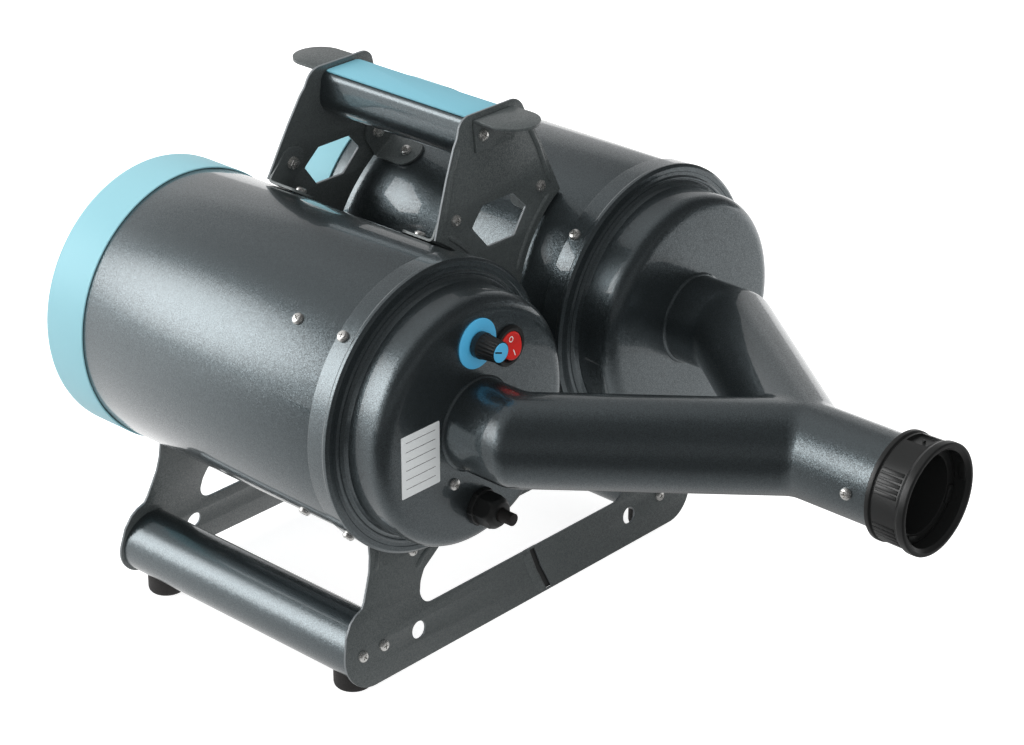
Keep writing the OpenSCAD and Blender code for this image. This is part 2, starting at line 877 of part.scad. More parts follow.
module label() {
  color("#c9ced0") translate([-drum_x - 53, ys + face_y - 0.3, axis_z - 22]) cube([26.4, 0.3, 33.4]);
}

module gland() {
  color("#1b1c1c") at_gland() difference() {
    union() {
      yc(gland_r, face_y - 3.5, face_y);
      rotate([-90, 0, 0]) translate([0, 0, face_y - 3.5]) cylinder(r = gland_r + 0.6, h = 3.5, $fn = 6);
      yc(7.5, face_y - 9, inner_y + 6);
    }
    yc(cable_r + 1.6, face_y - 10, inner_y - 1);
    yc(cable_r + hole_fit, inner_y - 2, inner_y + 7);
  }
  color("#1b1c1c") at_gland() difference() {
    rotate([-90, 0, 0]) translate([0, 0, inner_y]) cylinder(r = gland_r, h = 4, $fn = 6);
    yc(7.5, inner_y - 1, inner_y + 5);
  }
}

module gland_nut() {
  color("#222323") at_gland() difference() {
    union() {
      yc(gland_r - 0.4, face_y - 11, face_y - 3.5);
      translate([0, face_y - 11, 0]) rotate([90, 0, 0]) cylinder(r1 = gland_r - 0.4, r2 = 6, h = 4);
      for (a = [0 : 30 : 330]) {
        rotate([0, a, 0]) translate([gland_r - 0.9, face_y - 10.5, -0.8]) cube([1, 6.5, 1.6]);
      }
    }
    yc(7.5, face_y - 9, face_y - 3);
    yc(cable_r + hole_fit, face_y - 16, face_y - 8);
  }
}

module gland_seal() {
  color("#101111") at_gland() yring(cable_r + 1.6, cable_r, face_y - 8.9, inner_y - 2.1);
}

module cable_stub() {
  color("#161717") at_gland() yc(cable_r, face_y - 23, inner_y + 12);
}

// ---- control electrics behind the near face ----
module board() {
  color("#1f6a45") at_drum(-1) difference() {
    translate([-24, bulk_y - 12, -62]) cube([48, 1.6, 30]);
    for (x = [-20, 20]) for (z = [-58, -36]) {
      translate([x, 0, z]) yc(screw_sh + hole_fit, bulk_y - 14, bulk_y - 8);
    }
  }
}

module board_parts() {
  color("#8f9497") at_drum(-1) {
    for (x = [-20, 20]) for (z = [-58, -36]) {
      translate([x, 0, z]) yring(3, screw_sh + hole_fit, bulk_y - 10.4, bulk_y);
    }
    translate([-14, bulk_y - 24, -56]) cube([8, 12, 18]);
    translate([-2, bulk_y - 22, -56]) cube([3, 10, 18]);
    translate([3, bulk_y - 22, -56]) cube([3, 10, 18]);
    translate([-2, bulk_y - 13.5, -56]) cube([8, 1.5, 18]);
    translate([13, 0, -50]) yc(4.5, bulk_y - 26, bulk_y - 12);
  }
}

module wire(pts, r) {
  for (i = [0 : len(pts) - 2]) {
    d = pts[i + 1] - pts[i];
    translate(pts[i]) rotate([0, acos(d[2] / norm(d)), atan2(d[1], d[0])]) {
      translate([0, 0, -0.7 * r]) cylinder(r = r + 0.08 * i, h = norm(d) + 1.4 * r);
    }
  }
}

module wiring() {
  e = 0.84;
  by = bulk_y - 12 - e;
  color("#b8862b") at_drum(-1) {
    wire([[2, inner_y + 12 + e, -46.7], [2, -20, -46.7], [-19, -8, -46.7], [-19, by, -46.7]], 1.2);
    wire([
      [sw_x + drum_x, inner_y + 22 + e, sw_z - axis_z], [sw_x + drum_x, -12, sw_z - axis_z],
      [44, -6, 24], [48, 6, -24], [18, 4, -44], [18, by, -44]
    ], 1.2);
    wire([
      [0.5, inner_y + 15 + e, ctrl_r], [0.5, -18, ctrl_r], [36, -10, 10],
      [36, 2, -30], [10, 4, -36], [10, by, -36]
    ], 1.2);
  }
}

module conduit() {
  color("#1b1c1c") translate([0, ys + 60, axis_z]) rotate([0, 90, 0]) difference() {
    union() {
      translate([0, 0, -drum_x + in_r - 5]) cylinder(r = 5, h = 2 * (drum_x - in_r + 5));
      translate([0, 0, -drum_gap / 2 + 1.5]) cylinder(r = 7.5, h = drum_gap - 3);
    }
    translate([0, 0, -50]) cylinder(r = 3.4, h = 100);
  }
}

// ---- screws ----
module screws_drums() {
  color("#c9cbcc") for (s = [-1, 1]) {
    at_drum(s) {
      for (a = [45, 135, 225, 315]) {
        radial(a, skirt_sy) translate([0, 0, skirt_r]) pan(6);
        radial(a, bulk_y + 1) translate([0, 0, drum_r]) pan(5);
      }
      for (up = [true, false]) for (y = [tab_f(s, up), 2 * y_mid - tab_r(s, up)]) {
        radial(tab_a(s, up), y) translate([0, 0, drum_r + 0.02 + sheet_t]) pan(sheet_t + shell_t);
      }
    }
  }
}

module frame_screws(fy) {
  on_front() {
    for (s = [-1, 1]) {
      for (d = [-7.6, 7.6]) {
        translate([s * tube_x + d, pv(tube_z), 0]) pan(12);
      }
      translate([s * bracket_x(), pv(bracket_z()), 0]) pan(8);
      translate([s * bracket_x(), pv(bracket_z()), -2 * sheet_t - 2.5]) nut(2.5);
      translate([s * 8.8, pv(grip_top - 8.2), sheet_t]) pan(18);
      translate([s * drum_x, pv(web_z + 1), 0]) pan(6);
      translate([s * drum_x, pv(web_z + 1), -sheet_t - 2.5]) nut(2.5);
    }
  }
  for (s = [-1, 1]) {
    translate([s * tube_x, ys + fy, 3]) mirror([0, 0, 1]) pan(12);
  }
}

module screws_frame() {
  color("#c9cbcc") {
    front_end() frame_screws(foot_f());
    rear_end() frame_screws(foot_r_y());
  }
}

module screws_front() {
  color("#c9cbcc") {
    for (s = [-1, 1]) {
      at_drum(s) for (a = [239, 359]) {
        rotate([0, -a, 0]) translate([face_screw_r, face_y, 0]) rotate([90, 0, 0]) pan(8);
      }
    }
    translate([outlet_x - pipe_r, ys + coup_y + 13, axis_z]) rotate([0, -90, 0]) pan(5);
    at_drum(-1) for (x = [-20, 20]) for (z = [-58, -36]) {
      translate([x, bulk_y - 12, z]) rotate([90, 0, 0]) pan(10);
    }
  }
}

shell(-1);  // shell_a
shell(1);  // shell_b
cover_a();
cover_b();
cap(-1);  // cap_a
cap(1);  // cap_b
filter(-1);  // filter_a
filter(1);  // filter_b
liner(-1);  // liner_a
liner(1);  // liner_b
bulkheads(-1);  // bulkheads_a
bulkheads(1);  // bulkheads_b
rubber(-1);  // rubber_a
rubber(1);  // rubber_b
motor_cup(-1);  // motor_cup_a
motor_cup(1);  // motor_cup_b
fan_case(-1);  // fan_case_a
fan_case(1);  // fan_case_b
stator(-1);  // stator_a
stator(1);  // stator_b
rotor(-1);  // rotor_a
rotor(1);  // rotor_b
impeller(-1);  // impeller_a
impeller(1);  // impeller_b
bearings(-1);  // bearings_a
bearings(1);  // bearings_b
brushes(-1);  // brushes_a
brushes(1);  // brushes_b
manifold();
gaskets();
coupling();
coupling_ring();
plate_front();
plate_rear();
base_tube(-1);  // tube_near
base_tube(1);  // tube_far
plugs();
feet();
grip();
name_plate();
ear_front();
ear_rear();
knob();
knob_cap();
dial();
speed_pot();
switch_body();
rocker();
label();
gland();
gland_nut();
gland_seal();
cable_stub();
board();
board_parts();
wiring();
conduit();
screws_drums();
screws_frame();
screws_front();
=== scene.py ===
"""Pet dryer with two drums, a forked air pipe and a carrying frame: the looks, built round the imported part.

Lengths in the builders are millimetres in the part's own frame; link() turns them into metres.
"""

import json
import math

import bmesh
import bpy
from bpy.props import FloatProperty, FloatVectorProperty, IntProperty, PointerProperty
from mathutils import Matrix, Vector


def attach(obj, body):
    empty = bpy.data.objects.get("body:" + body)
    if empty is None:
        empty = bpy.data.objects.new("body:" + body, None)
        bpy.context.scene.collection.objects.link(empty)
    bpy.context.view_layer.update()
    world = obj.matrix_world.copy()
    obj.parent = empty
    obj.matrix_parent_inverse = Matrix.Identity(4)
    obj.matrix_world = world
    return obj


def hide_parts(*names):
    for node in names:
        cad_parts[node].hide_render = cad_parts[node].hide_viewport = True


bl_info = {
    "name": "Pet dryer",
    "version": (1, 0, 0),
    "blender": (4, 5, 0),
    "location": "View3D > Sidebar > Dryer",
    "description": "Builds the looks of a twin-drum pet dryer round its packed part",
    "category": "Object",
}

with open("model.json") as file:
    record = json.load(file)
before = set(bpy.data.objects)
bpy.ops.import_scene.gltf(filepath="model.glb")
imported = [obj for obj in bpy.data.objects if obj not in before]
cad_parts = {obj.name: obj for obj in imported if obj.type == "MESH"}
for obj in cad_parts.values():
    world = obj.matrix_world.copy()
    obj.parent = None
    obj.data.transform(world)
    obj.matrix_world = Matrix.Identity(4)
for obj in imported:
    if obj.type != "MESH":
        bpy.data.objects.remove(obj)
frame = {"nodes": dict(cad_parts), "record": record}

MM = 1000.0                                 # millimetres in a metre

# ---- sizes of the part, mm ----
YS = 27.0                                   # front edge of the drum shells
MID_Y = YS + 85                             # middle of the shells
DX, DZ, DR = 84.0, 158.6, 75.0              # a drum: its axis across and up, its radius
FACE = YS - 40.0                            # front face of a cover
BEND, JOIN = YS - 67.0, YS - 174.0          # where the pipe's arms bend and where they meet
COUP, LIP = YS - 231.0, YS - 254.0          # rear and front end of the hose coupling
OX, PR, PT = 4.0, 23.8, 2.0                 # the outlet's place across, the pipe's radius and wall
TX, TZ, TR = 118.0, 25.8, 17.8              # a base tube: its axis across and up, its radius
BAR = 6.2                                   # lower edge of the end plates
WEB = DZ - DR - 15.3                        # upper edge of their long window
UPZ = DZ + DR - 4.0                         # level of the hexagon window
GRIP = DZ + DR + 46.0                       # top of the grip bar
SHEET = 1.5                                 # thickness of the plates, brackets and ears
LEAN = (math.radians(5.8), math.radians(8.9))   # how far the front and the rear plate lean
SET_BACK = (0.0, 11.2)                      # how far each stands outside the shell's edge at its foot
BRACKET = DR + 24.4                         # how far an upper bracket reaches from the drum's axis
DRUM_SEAT = 75.1                            # radius on which brackets and tabs lie
FOOT_Y = (YS + 17.19, YS + 162.93)          # front and rear feet
KNOB = (-83.5, DZ + 43.4)
SWITCH = (-DX + 41.3 * math.cos(math.radians(56.4)), DZ + 41.3 * math.sin(math.radians(56.4)))
GLAND = (-82.0, DZ - 46.7)
EDGE = 0.3                                  # rounding of a cut sheet edge
SIDES = ((-1, "a"), (1, "b"))               # the two drums
ENDS = ((0, "front"), (1, "rear"))          # the two end plates


def col(text):
    """sRGB hex to the linear RGBA that a socket takes."""
    out = []
    for i in (1, 3, 5):
        c = int(text[i:i + 2], 16) / 255
        out.append(c / 12.92 if c <= 0.04045 else ((c + 0.055) / 1.055) ** 2.4)
    return (*out, 1.0)


# ---- outlines ----
def rounded(points, n=5):
    """Outline with its corners (x, y, radius) rounded in n steps; each takes at most 0.48 of a side."""
    out = []
    for i, p in enumerate(points):
        rad = p[2] if len(p) > 2 else 0
        a, b, c = Vector(points[i - 1][:2]), Vector(p[:2]), Vector(points[(i + 1) % len(points)][:2])
        if rad <= 0:
            out.append(tuple(b))
            continue
        u, w = a - b, c - b
        t = min(rad / max(math.tan(u.angle(w) / 2), 1e-3), 0.48 * u.length, 0.48 * w.length)
        p0, p2 = b + u * (t / u.length), b + w * (t / w.length)
        for j in range(n + 1):
            s = j / n
            out.append(tuple(p0 * (1 - s) ** 2 + b * 2 * s * (1 - s) + p2 * s * s))
    return out


def arc(cx, cy, r, a0, a1, n):
    """Points of an arc from a0 to a1 degrees, in n steps."""
    turns = [math.radians(a0 + (a1 - a0) * i / n) for i in range(n + 1)]
    return [(cx + r * math.cos(a), cy + r * math.sin(a)) for a in turns]


def circle(cx, cy, r, n):
    """Closed outline of n points on a circle; six make a hexagon."""
    return arc(cx, cy, r, 0, 360, n)[:-1]


def mirrored(half):
    """Closed outline from its right half."""
    return half + [(-x, y) for x, y in reversed(half) if x > 1e-6]


# ---- mesh helpers ----
def turn(seg):
    """The angles of seg equal steps round a circle."""
    return [2 * math.pi * i / seg for i in range(seg)]


def about(x, z, degrees, y=0.0):
    """Matrix that turns about the line along Y through (x, z)."""
    return Matrix.Translation((x, y, z)) @ Matrix.Rotation(math.radians(degrees), 4, "Y")


def skin(bm, rows, closed=False):
    """Faces between neighbouring rings of vertices; a ring of one vertex is a pole."""
    made = []
    for i in range(0 if closed else 1, len(rows)):
        p, q = rows[i - 1], rows[i]
        n = max(len(p), len(q))
        if n == 1:
            continue
        for j in range(n):
            k = (j + 1) % n
            corners = (p[j % len(p)], p[k % len(p)], q[k % len(q)], q[j % len(q)])
            made.append(bm.faces.new(list(dict.fromkeys(corners))))
    return made


def edges_of(faces):
    """The edges of the faces, each once, in a fixed order."""
    return list(dict.fromkeys(e for f in faces for e in f.edges))


def soften(bm, edges, offset, steps=2):
    """Bevels the edges and returns the faces that this makes."""
    return bmesh.ops.bevel(bm, geom=edges, offset=offset, segments=steps, profile=0.5,
                           affect="EDGES", clamp_overlap=True)["faces"]


def turned(bm, points, cx, cz, seg=96, n=3, y0=YS, wave=None):
    """Turns the closed outline (radius, y from y0, rounding) about the line along Y through (cx, cz)."""
    rings = []
    for r, y in rounded([(p[0], p[1] + y0, *p[2:]) for p in points], n):
        if r < 1e-4:
            rings.append([bm.verts.new((cx, y, cz))])
            continue
        ring = []
        for a in turn(seg):
            q = r - (wave(a, r, y - y0) if wave else 0)
            ring.append(bm.verts.new((cx + q * math.cos(a), y, cz + q * math.sin(a))))
        rings.append(ring)
    skin(bm, rings, True)


def prism(bm, outline, place, n0, n1, mat=0, edge=0.0):
    """Closed slab: the outline (u, v) between the heights n0 and n1, put in place by place(u, v, n)."""
    lo = [bm.verts.new(place(u, v, n0)) for u, v in outline]
    hi = [bm.verts.new(place(u, v, n1)) for u, v in outline]
    caps = [bm.faces.new(lo[::-1]), bm.faces.new(hi)]
    for f in caps + skin(bm, [lo, hi]):
        f.material_index = mat
    if edge:
        soften(bm, edges_of(caps), edge)


def sheet(bm, outline, holes, place):
    """Plate of SHEET thickness with holes and rounded edges; its outer face is at n = 0."""
    cu = bpy.data.curves.new("cut", "CURVE")
    cu.dimensions, cu.fill_mode = "2D", "BOTH"
    cu.extrude, cu.bevel_depth, cu.bevel_resolution, cu.offset = SHEET / 2 - EDGE, EDGE, 1, -EDGE
    for pts in [outline] + holes:
        sp = cu.splines.new("POLY")
        sp.points.add(len(pts) - 1)
        for p, q in zip(sp.points, pts):
            p.co = (q[0], q[1], 0, 1)
        sp.use_cyclic_u = True
    ob = bpy.data.objects.new("cut", cu)
    bpy.context.scene.collection.objects.link(ob)
    me = bpy.data.meshes.new_from_object(ob.evaluated_get(bpy.context.evaluated_depsgraph_get()))
    bpy.data.objects.remove(ob)
    bpy.data.curves.remove(cu)
    # the cut edges take the second material, which on the end plates is the paler edge coat: a painted
    # highlight
    for f in me.polygons:
        f.material_index = 0 if abs(f.normal.z) > 0.9 else 1
    for v in me.vertices:
        v.co = place(v.co.x, v.co.y, v.co.z - SHEET / 2)
    bm.from_mesh(me)
    bpy.data.meshes.remove(me)


def bent(bm, path, half, t, place, both=False):
    """Strip of bent sheet along the path (a, b), t thick to its left, round at its end or at both ends."""
    tip_steps = 12
    pts = [Vector(path[0])]
    for p in path[1:]:
        if (Vector(p) - pts[-1]).length > 1e-3:
            pts.append(Vector(p))
    length = sum((q - p).length for p, q in zip(pts, pts[1:]))

    def round_end(pts):
        """Adds rows near the end; the last one stops short of the tip, so that it keeps a width."""
        d = (pts[-1] - pts[-2]).normalized()
        base = pts[-1] - d * half
        shares = [min(i, tip_steps - 0.4) / tip_steps for i in range(tip_steps + 1)]
        return pts[:-1] + [base + d * half * math.sin(math.pi / 2 * q) for q in shares]
    pts = round_end(pts)
    if both:
        pts = round_end(pts[::-1])[::-1]
        length -= (Vector(path[0]) - pts[0]).length
    rows, s = [], 0.0
    for i, p in enumerate(pts):
        if i:
            s += (p - pts[i - 1]).length
        d = (pts[min(i + 1, len(pts) - 1)] - pts[max(i - 1, 0)]).normalized()
        q = p + Vector((-d.y, d.x)) * t
        gap = min(s, length - s) if both else length - s
        h = math.sqrt(max(half * half - (half - gap) ** 2, 0.3)) if gap < half else half
        rows.append([bm.verts.new(place(*p, -h)), bm.verts.new(place(*p, h)),
                     bm.verts.new(place(*q, h)), bm.verts.new(place(*q, -h))])
    made = [bm.faces.new(rows[0][::-1]), bm.faces.new(rows[-1])] + skin(bm, rows)
    bm.normal_update()
    soften(bm, [e for e in edges_of(made) if e.is_manifold and e.calc_face_angle(0) > 0.9], EDGE)


def ridge(bm, pts, place, half, proud):
    """Stiffening bead pressed out of the sheet along the points (u, v), running out at both ends."""
    run_out, root = 2.5, 0.15
    pts = [Vector(q) for q in pts]
    first = pts[0] + (pts[1] - pts[0]).normalized() * run_out
    last = pts[-1] + (pts[-2] - pts[-1]).normalized() * run_out
    pts = [pts[0], first] + pts[1:-1] + [last, pts[-1]]
    rows = []
    for i, p in enumerate(pts):
        d = (pts[min(i + 1, len(pts) - 1)] - pts[max(i - 1, 0)]).normalized()
        k = 0.12 if i in (0, len(pts) - 1) else 1.0
        row = []
        for a in range(-90, 91, 18):
            w, n = half * k * math.sin(math.radians(a)), (proud + root) * k * math.cos(math.radians(a))
            row.append(bm.verts.new(place(p.x - d.y * w, p.y + d.x * w, n - root)))
        rows.append(row)
    skin(bm, rows)
    bm.faces.new(rows[0][::-1])
    bm.faces.new(rows[-1])


def block(bm, lo, hi, move=None, edge=0.2, mat=0):
    """Rounded block between two corners, moved by a matrix."""
    c = [bm.verts.new((x, y, z)) for x in (lo[0], hi[0]) for y in (lo[1], hi[1]) for z in (lo[2], hi[2])]
    fs = [bm.faces.new([c[i] for i in q]) for q in
          ((0, 1, 3, 2), (4, 6, 7, 5), (0, 4, 5, 1), (2, 3, 7, 6), (0, 2, 6, 4), (1, 5, 7, 3))]
    for f in fs:
        f.material_index = mat
    made = soften(bm, edges_of(fs), edge)
    if move:
        for v in set(v for f in made for v in f.verts) | set(v for v in c if v.is_valid):
            v.co = move @ v.co


# ---- the leaning plates; rear is 0 or 1 ----
def flip(y, rear):
    """The rear plate is laid out as the front one and turned over at the shells' middle."""
    return 2 * MID_Y - y if rear else y


def face_y(z, rear):
    """Where a plate's outer face stands at the height z, before it is turned over."""
    return YS - SET_BACK[rear] + (z - BAR) * math.tan(LEAN[rear])


def inner_y(z, rear):
    """Where a plate's inner face stands at the height z."""
    return flip(face_y(z, rear) + SHEET / math.cos(LEAN[rear]), rear)


def pv(z, rear):
    """How far up the sheet the height z lies."""
    return (z - BAR) / math.cos(LEAN[rear])


def on_plate(rear):
    """Function that puts (across, up the sheet, outwards) on a plate's outer face."""
    c, s = math.cos(LEAN[rear]), math.sin(LEAN[rear])

    def place(u, v, n):
        return (u, flip(YS - SET_BACK[rear] + v * s - n * c, rear), BAR + v * c + n * s)
    return place


def tab_angle(side, up):
    """Where a bracket or tab sits round its drum."""
    return math.radians(90 + side * 35 if up else 270 + side * 15)


def link(name, bm, node, slot, body="base", more=(), angle=32, merge=True):
    """Makes a piece from the mesh in millimetres, ties it to its body and hides the node that it shows."""
    if merge:
        bmesh.ops.remove_doubles(bm, verts=bm.verts, dist=0.002)
    bmesh.ops.recalc_face_normals(bm, faces=bm.faces)
    bmesh.ops.scale(bm, vec=(1 / MM, 1 / MM, 1 / MM), verts=bm.verts)
    me = bpy.data.meshes.new(name)
    bm.to_mesh(me)
    bm.free()
    if not me.polygons:
        raise RuntimeError(f"{name} has no faces")
    for key in (slot, *more):
        me.materials.append(MAT[key])
    smooth(me, angle)
    ob = bpy.data.objects.new(name, me)
    bpy.context.scene.collection.objects.link(ob)
    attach(ob, body)
    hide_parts(node)
    return ob


def smooth(me, angle):
    """Smooth shading with sharp edges above the angle in degrees."""
    me.shade_smooth()
    me.set_sharp_from_angle(angle=math.radians(angle))


def cut(ob, tool_bm):
    """Takes the shape in tool_bm, in millimetres, out of the piece."""
    bmesh.ops.recalc_face_normals(tool_bm, faces=tool_bm.faces)
    bmesh.ops.scale(tool_bm, vec=(1 / MM, 1 / MM, 1 / MM), verts=tool_bm.verts)
    me = bpy.data.meshes.new("tool")
    tool_bm.to_mesh(me)
    tool_bm.free()
    tool = bpy.data.objects.new("tool", me)
    bpy.context.scene.collection.objects.link(tool)
    mod = ob.modifiers.new("cut", "BOOLEAN")
    mod.operation, mod.solver, mod.object = "DIFFERENCE", "EXACT", tool
    new = bpy.data.meshes.new_from_object(ob.evaluated_get(bpy.context.evaluated_depsgraph_get()))
    ob.modifiers.clear()
    ob.data = new
    smooth(new, 32)
    bpy.data.objects.remove(tool)


# ---- materials ----
def add_node(tree, kind, inputs=None, **attrs):
    """Adds a node with its settings; each input is a value or the socket that feeds it."""
    n = tree.nodes.new(kind)
    for k, v in attrs.items():
        setattr(n, k, v)
    for k, v in (inputs or {}).items():
        if isinstance(v, bpy.types.NodeSocket):
            tree.links.new(v, n.inputs[k])
        else:
            n.inputs[k].default_value = v
    return n


def surface(name, base, rough, metal=0.0, ior=1.5, coat=(0.0, 0.05), pattern=None):
    """Principled material; coat is (weight, roughness), pattern(tree, shader, spot) adds what varies."""
    m = bpy.data.materials.new(name)
    m.use_nodes = True
    tree = m.node_tree
    shader = tree.nodes["Principled BSDF"]
    shader.inputs["Base Color"].default_value = base
    shader.inputs["Roughness"].default_value = rough
    shader.inputs["Metallic"].default_value = metal
    if metal < 0.5:
        shader.inputs["IOR"].default_value = ior
    shader.inputs["Coat Weight"].default_value = coat[0]
    shader.inputs["Coat Roughness"].default_value = coat[1]
    if pattern:
        pattern(tree, shader, add_node(tree, "ShaderNodeTexCoord").outputs["Object"])
    return m


def grain(per_mm, low, high, bump=0.0, depth=0.0):
    """Noise with per_mm grains a millimetre: roughness between low and high, and a bump depth mm high."""
    def add(tree, shader, spot):
        n = add_node(tree, "ShaderNodeTexNoise", {"Vector": spot, "Scale": per_mm * MM, "Detail": 3.0})
        r = add_node(tree, "ShaderNodeMapRange", {
            "Value": n.outputs["Fac"], "From Min": 0.3, "From Max": 0.7, "To Min": low, "To Max": high})
        tree.links.new(r.outputs["Result"], shader.inputs["Roughness"])
        if bump:
            b = add_node(tree, "ShaderNodeBump", {
                "Height": n.outputs["Fac"], "Strength": bump, "Distance": depth / MM})
            tree.links.new(b.outputs["Normal"], shader.inputs["Normal"])
    return add


def flakes(dark, light, size, tilt):
    """Aluminium flakes of the given size in metres under lacquer: each cell has its own tone and tilt."""
    def add(tree, shader, spot):
        cell = add_node(tree, "ShaderNodeTexVoronoi", {"Vector": spot, "Scale": 1 / size}).outputs["Color"]
        tone = add_node(tree, "ShaderNodeSeparateColor", {"Color": cell})
        mix = add_node(tree, "ShaderNodeMix", {"Factor": tone.outputs["Red"]}, data_type="RGBA")
        mix.inputs["A"].default_value = dark
        mix.inputs["B"].default_value = light
        tree.links.new(mix.outputs["Result"], shader.inputs["Base Color"])
        way = add_node(tree, "ShaderNodeNewGeometry").outputs["Normal"]
        lean = add_node(tree, "ShaderNodeVectorMath", {0: cell, 1: (0.5, 0.5, 0.5)}, operation="SUBTRACT")
        lean = add_node(tree, "ShaderNodeVectorMath", {0: lean.outputs[0], "Scale": tilt}, operation="SCALE")
        lean = add_node(tree, "ShaderNodeVectorMath", {0: way, 1: lean.outputs[0]}, operation="ADD")
        lean = add_node(tree, "ShaderNodeVectorMath", {0: lean.outputs[0]}, operation="NORMALIZE")
        tree.links.new(lean.outputs[0], shader.inputs["Normal"])
    return add


MAT = {}


def make_finishes(size, tilt, tint):
    """Makes every material; size and tilt are those of the flakes, tint holds the colours."""
    # metallic body paint, aluminium flakes drawn coarse enough to show, clear lacquer: gloss and sparkle
    MAT["body_paint"] = surface("metallic_paint", tint.body, 0.3, 0.9, coat=(0.9, 0.05),
                                pattern=flakes(tint.body_dark, tint.body_light, size, tilt))
    # metallic powder coat baked on sheet steel, its flakes drawn about 0.5 mm wide to show: a speckled satin
    MAT["frame_paint"] = surface("powder_coat", tint.frame, 0.36, 0.25, coat=(0.3, 0.12),
                                 pattern=flakes(tint.frame_dark, tint.frame_light, size * 1.4, tilt))
    # the same coat on the cut edge of the sheet, painted paler than the faces: a painted highlight along the
    # edges
    MAT["frame_edge_highlight"] = surface("powder_coat_edge_highlight", tint.edge, 0.36, 0.2, pattern=grain(1.5, 0.3, 0.42))
    # silver foil label under clear varnish, IOR 1.5: nearly white, hardly a mirror
    MAT["label_silver"] = surface("foil_label", tint.label, 0.4, 0.1,
                                  pattern=grain(2.6, 0.34, 0.5, 0.06, 0.03))
    # bright nickel plate on the screws: small hard highlights
    MAT["screw_steel"] = surface("nickel_plate", tint.screw, 0.22, 0.92, pattern=grain(1.5, 0.2, 0.34))
    # white printing ink, IOR 1.5, for the rocker's marks: a weak sheen
    MAT["white_ink"] = surface("white_ink", tint.white, 0.5)
    # black printing ink, IOR 1.5, for the knob's pointer and the label's rules: a weak sheen
    MAT["black_ink"] = surface("black_ink", tint.black, 0.45)
    for slot, name, base, rough, ior, pattern in (
            # turquoise ABS moulded in an eroded tool: an even satin
            ("cap_blue", "abs_turquoise", tint.cap, 0.45, 1.54, (0.9, 0.42, 0.5, 0.05, 0.05)),
            # painted aluminium name plate, the IOR that of the paint: flat colour with a weak sheen
            ("plate_blue", "painted_plate", tint.plate, 0.5, 1.5, (1.2, 0.46, 0.54, 0.03, 0.03)),
            # moulded sky blue ABS of the dial and the knob's cap: strong colour, satin
            ("dial_blue", "abs_sky_blue", tint.dial, 0.4, 1.54, (1.5, 0.36, 0.45, 0.05, 0.04)),
            # polished polycarbonate rocker: a sharp gloss on red
            ("red_plastic", "polycarbonate_red", tint.rocker, 0.18, 1.58, (1.2, 0.15, 0.22)),
            # moulded black nylon: satin, a little uneven
            ("black_plastic", "nylon_black", tint.nylon, 0.34, 1.53, (1.6, 0.28, 0.42, 0.08, 0.06)),
            # moulded rubber: a dull and warm black
            ("rubber", "rubber_black", tint.rubber, 0.62, 1.52, (1.1, 0.55, 0.72, 0.15, 0.1)),
            # blown open foams of the filter and the sound lining, cells of about 1 mm: matt and pitted
            ("foam", "filter_foam", col("#353838"), 0.9, 1.5, (1.0, 0.85, 0.95, 0.8, 0.6)),
            ("foam_grey", "sound_foam", col("#4c4f51"), 0.9, 1.5, (0.9, 0.85, 0.95, 0.7, 0.5)),
            # pressed carbon: near black and dull
            ("carbon", "brush_carbon", col("#2a2622"), 0.6, 1.6, (0.9, 0.5, 0.7)),
            # circuit board under solder mask: deep green with a soft gloss
            ("green_board", "board_mask", col("#175c3a"), 0.35, 1.55, (0.5, 0.3, 0.45))):
        MAT[slot] = surface(name, base, rough, ior=ior, pattern=grain(*pattern))
    for slot, name, base, rough, pattern in (
            # zinc plated sheet steel: grey metal with cloudy dull patches about 4 mm wide
            ("zinc", "zinc_plated_steel", "#a9aeb2", 0.35, (0.26, 0.28, 0.45)),
            # sand-cast aluminium: pale and finely rough
            ("cast_alu", "cast_aluminium", "#b9bcbe", 0.45, (0.7, 0.38, 0.55, 0.3, 0.1)),
            # ground steel: bright, with a fine unevenness
            ("steel", "ground_steel", "#a5a7a9", 0.28, (0.5, 0.22, 0.36)),
            # enamelled copper wire, wound: brown metal, lumpy at the size of a wire
            ("winding", "copper_winding", "#8d4f2c", 0.3, (0.8, 0.25, 0.4, 0.4, 0.2))):
        MAT[slot] = surface(name, col(base), rough, 1.0, pattern=grain(*pattern))


# ---- pieces ----
def build_shells(wall):
    """Plain tube of each drum, from under the front cover's sleeve into the rear cap."""
    front, rear, edge = -8, 182, 0.3
    tube = [(DR, front, edge), (DR, rear, edge), (DR - wall, rear, edge), (DR - wall, front, edge)]
    for s, tag in SIDES:
        bm = bmesh.new()
        turned(bm, tube, s * DX, DZ, 160, 2)
        link(f"drum_shell_{tag}", bm, f"shell_{tag}", "body_paint")


def build_covers(steps):
    """Stepped front covers: a sleeve over the shell, a bead, and a domed pan round the air pipe."""
    sleeve = [(75.15, 0.0, 0.2), (77.0, 0.0, 0.5), (77.0, -10.2, 0.6), (77.5, -11.0, 0.6), (77.5, -12.9, 0.8)]
    bead = [(75.9, -14, 0.6), (73.6, -14, 0.3), (73.2, -13.7, 0.3), (71.3, -13.8, 0.4), (70.6, -14.9, 0.5),
            (69.7, -14.9, 0.5), (69.2, -14.1, 0.8)]
    pan = [(67.4, -15.2, 1.2), (66.5, -17.6, 1.4), (66.5, -40.0, 8.5), (24.0, -40.0, 0.3)]
    inside = [(24.0, -38.5, 0), (65.0, -38.5, 7.0), (65.0, -12.5, 0.5), (75.15, -12.5, 0)]
    for s, tag in SIDES:
        bm = bmesh.new()
        turned(bm, sleeve + bead + pan + inside, s * DX, DZ, 192, steps)
        link(f"front_cover_{tag}", bm, f"cover_{tag}", "body_paint", angle=40)


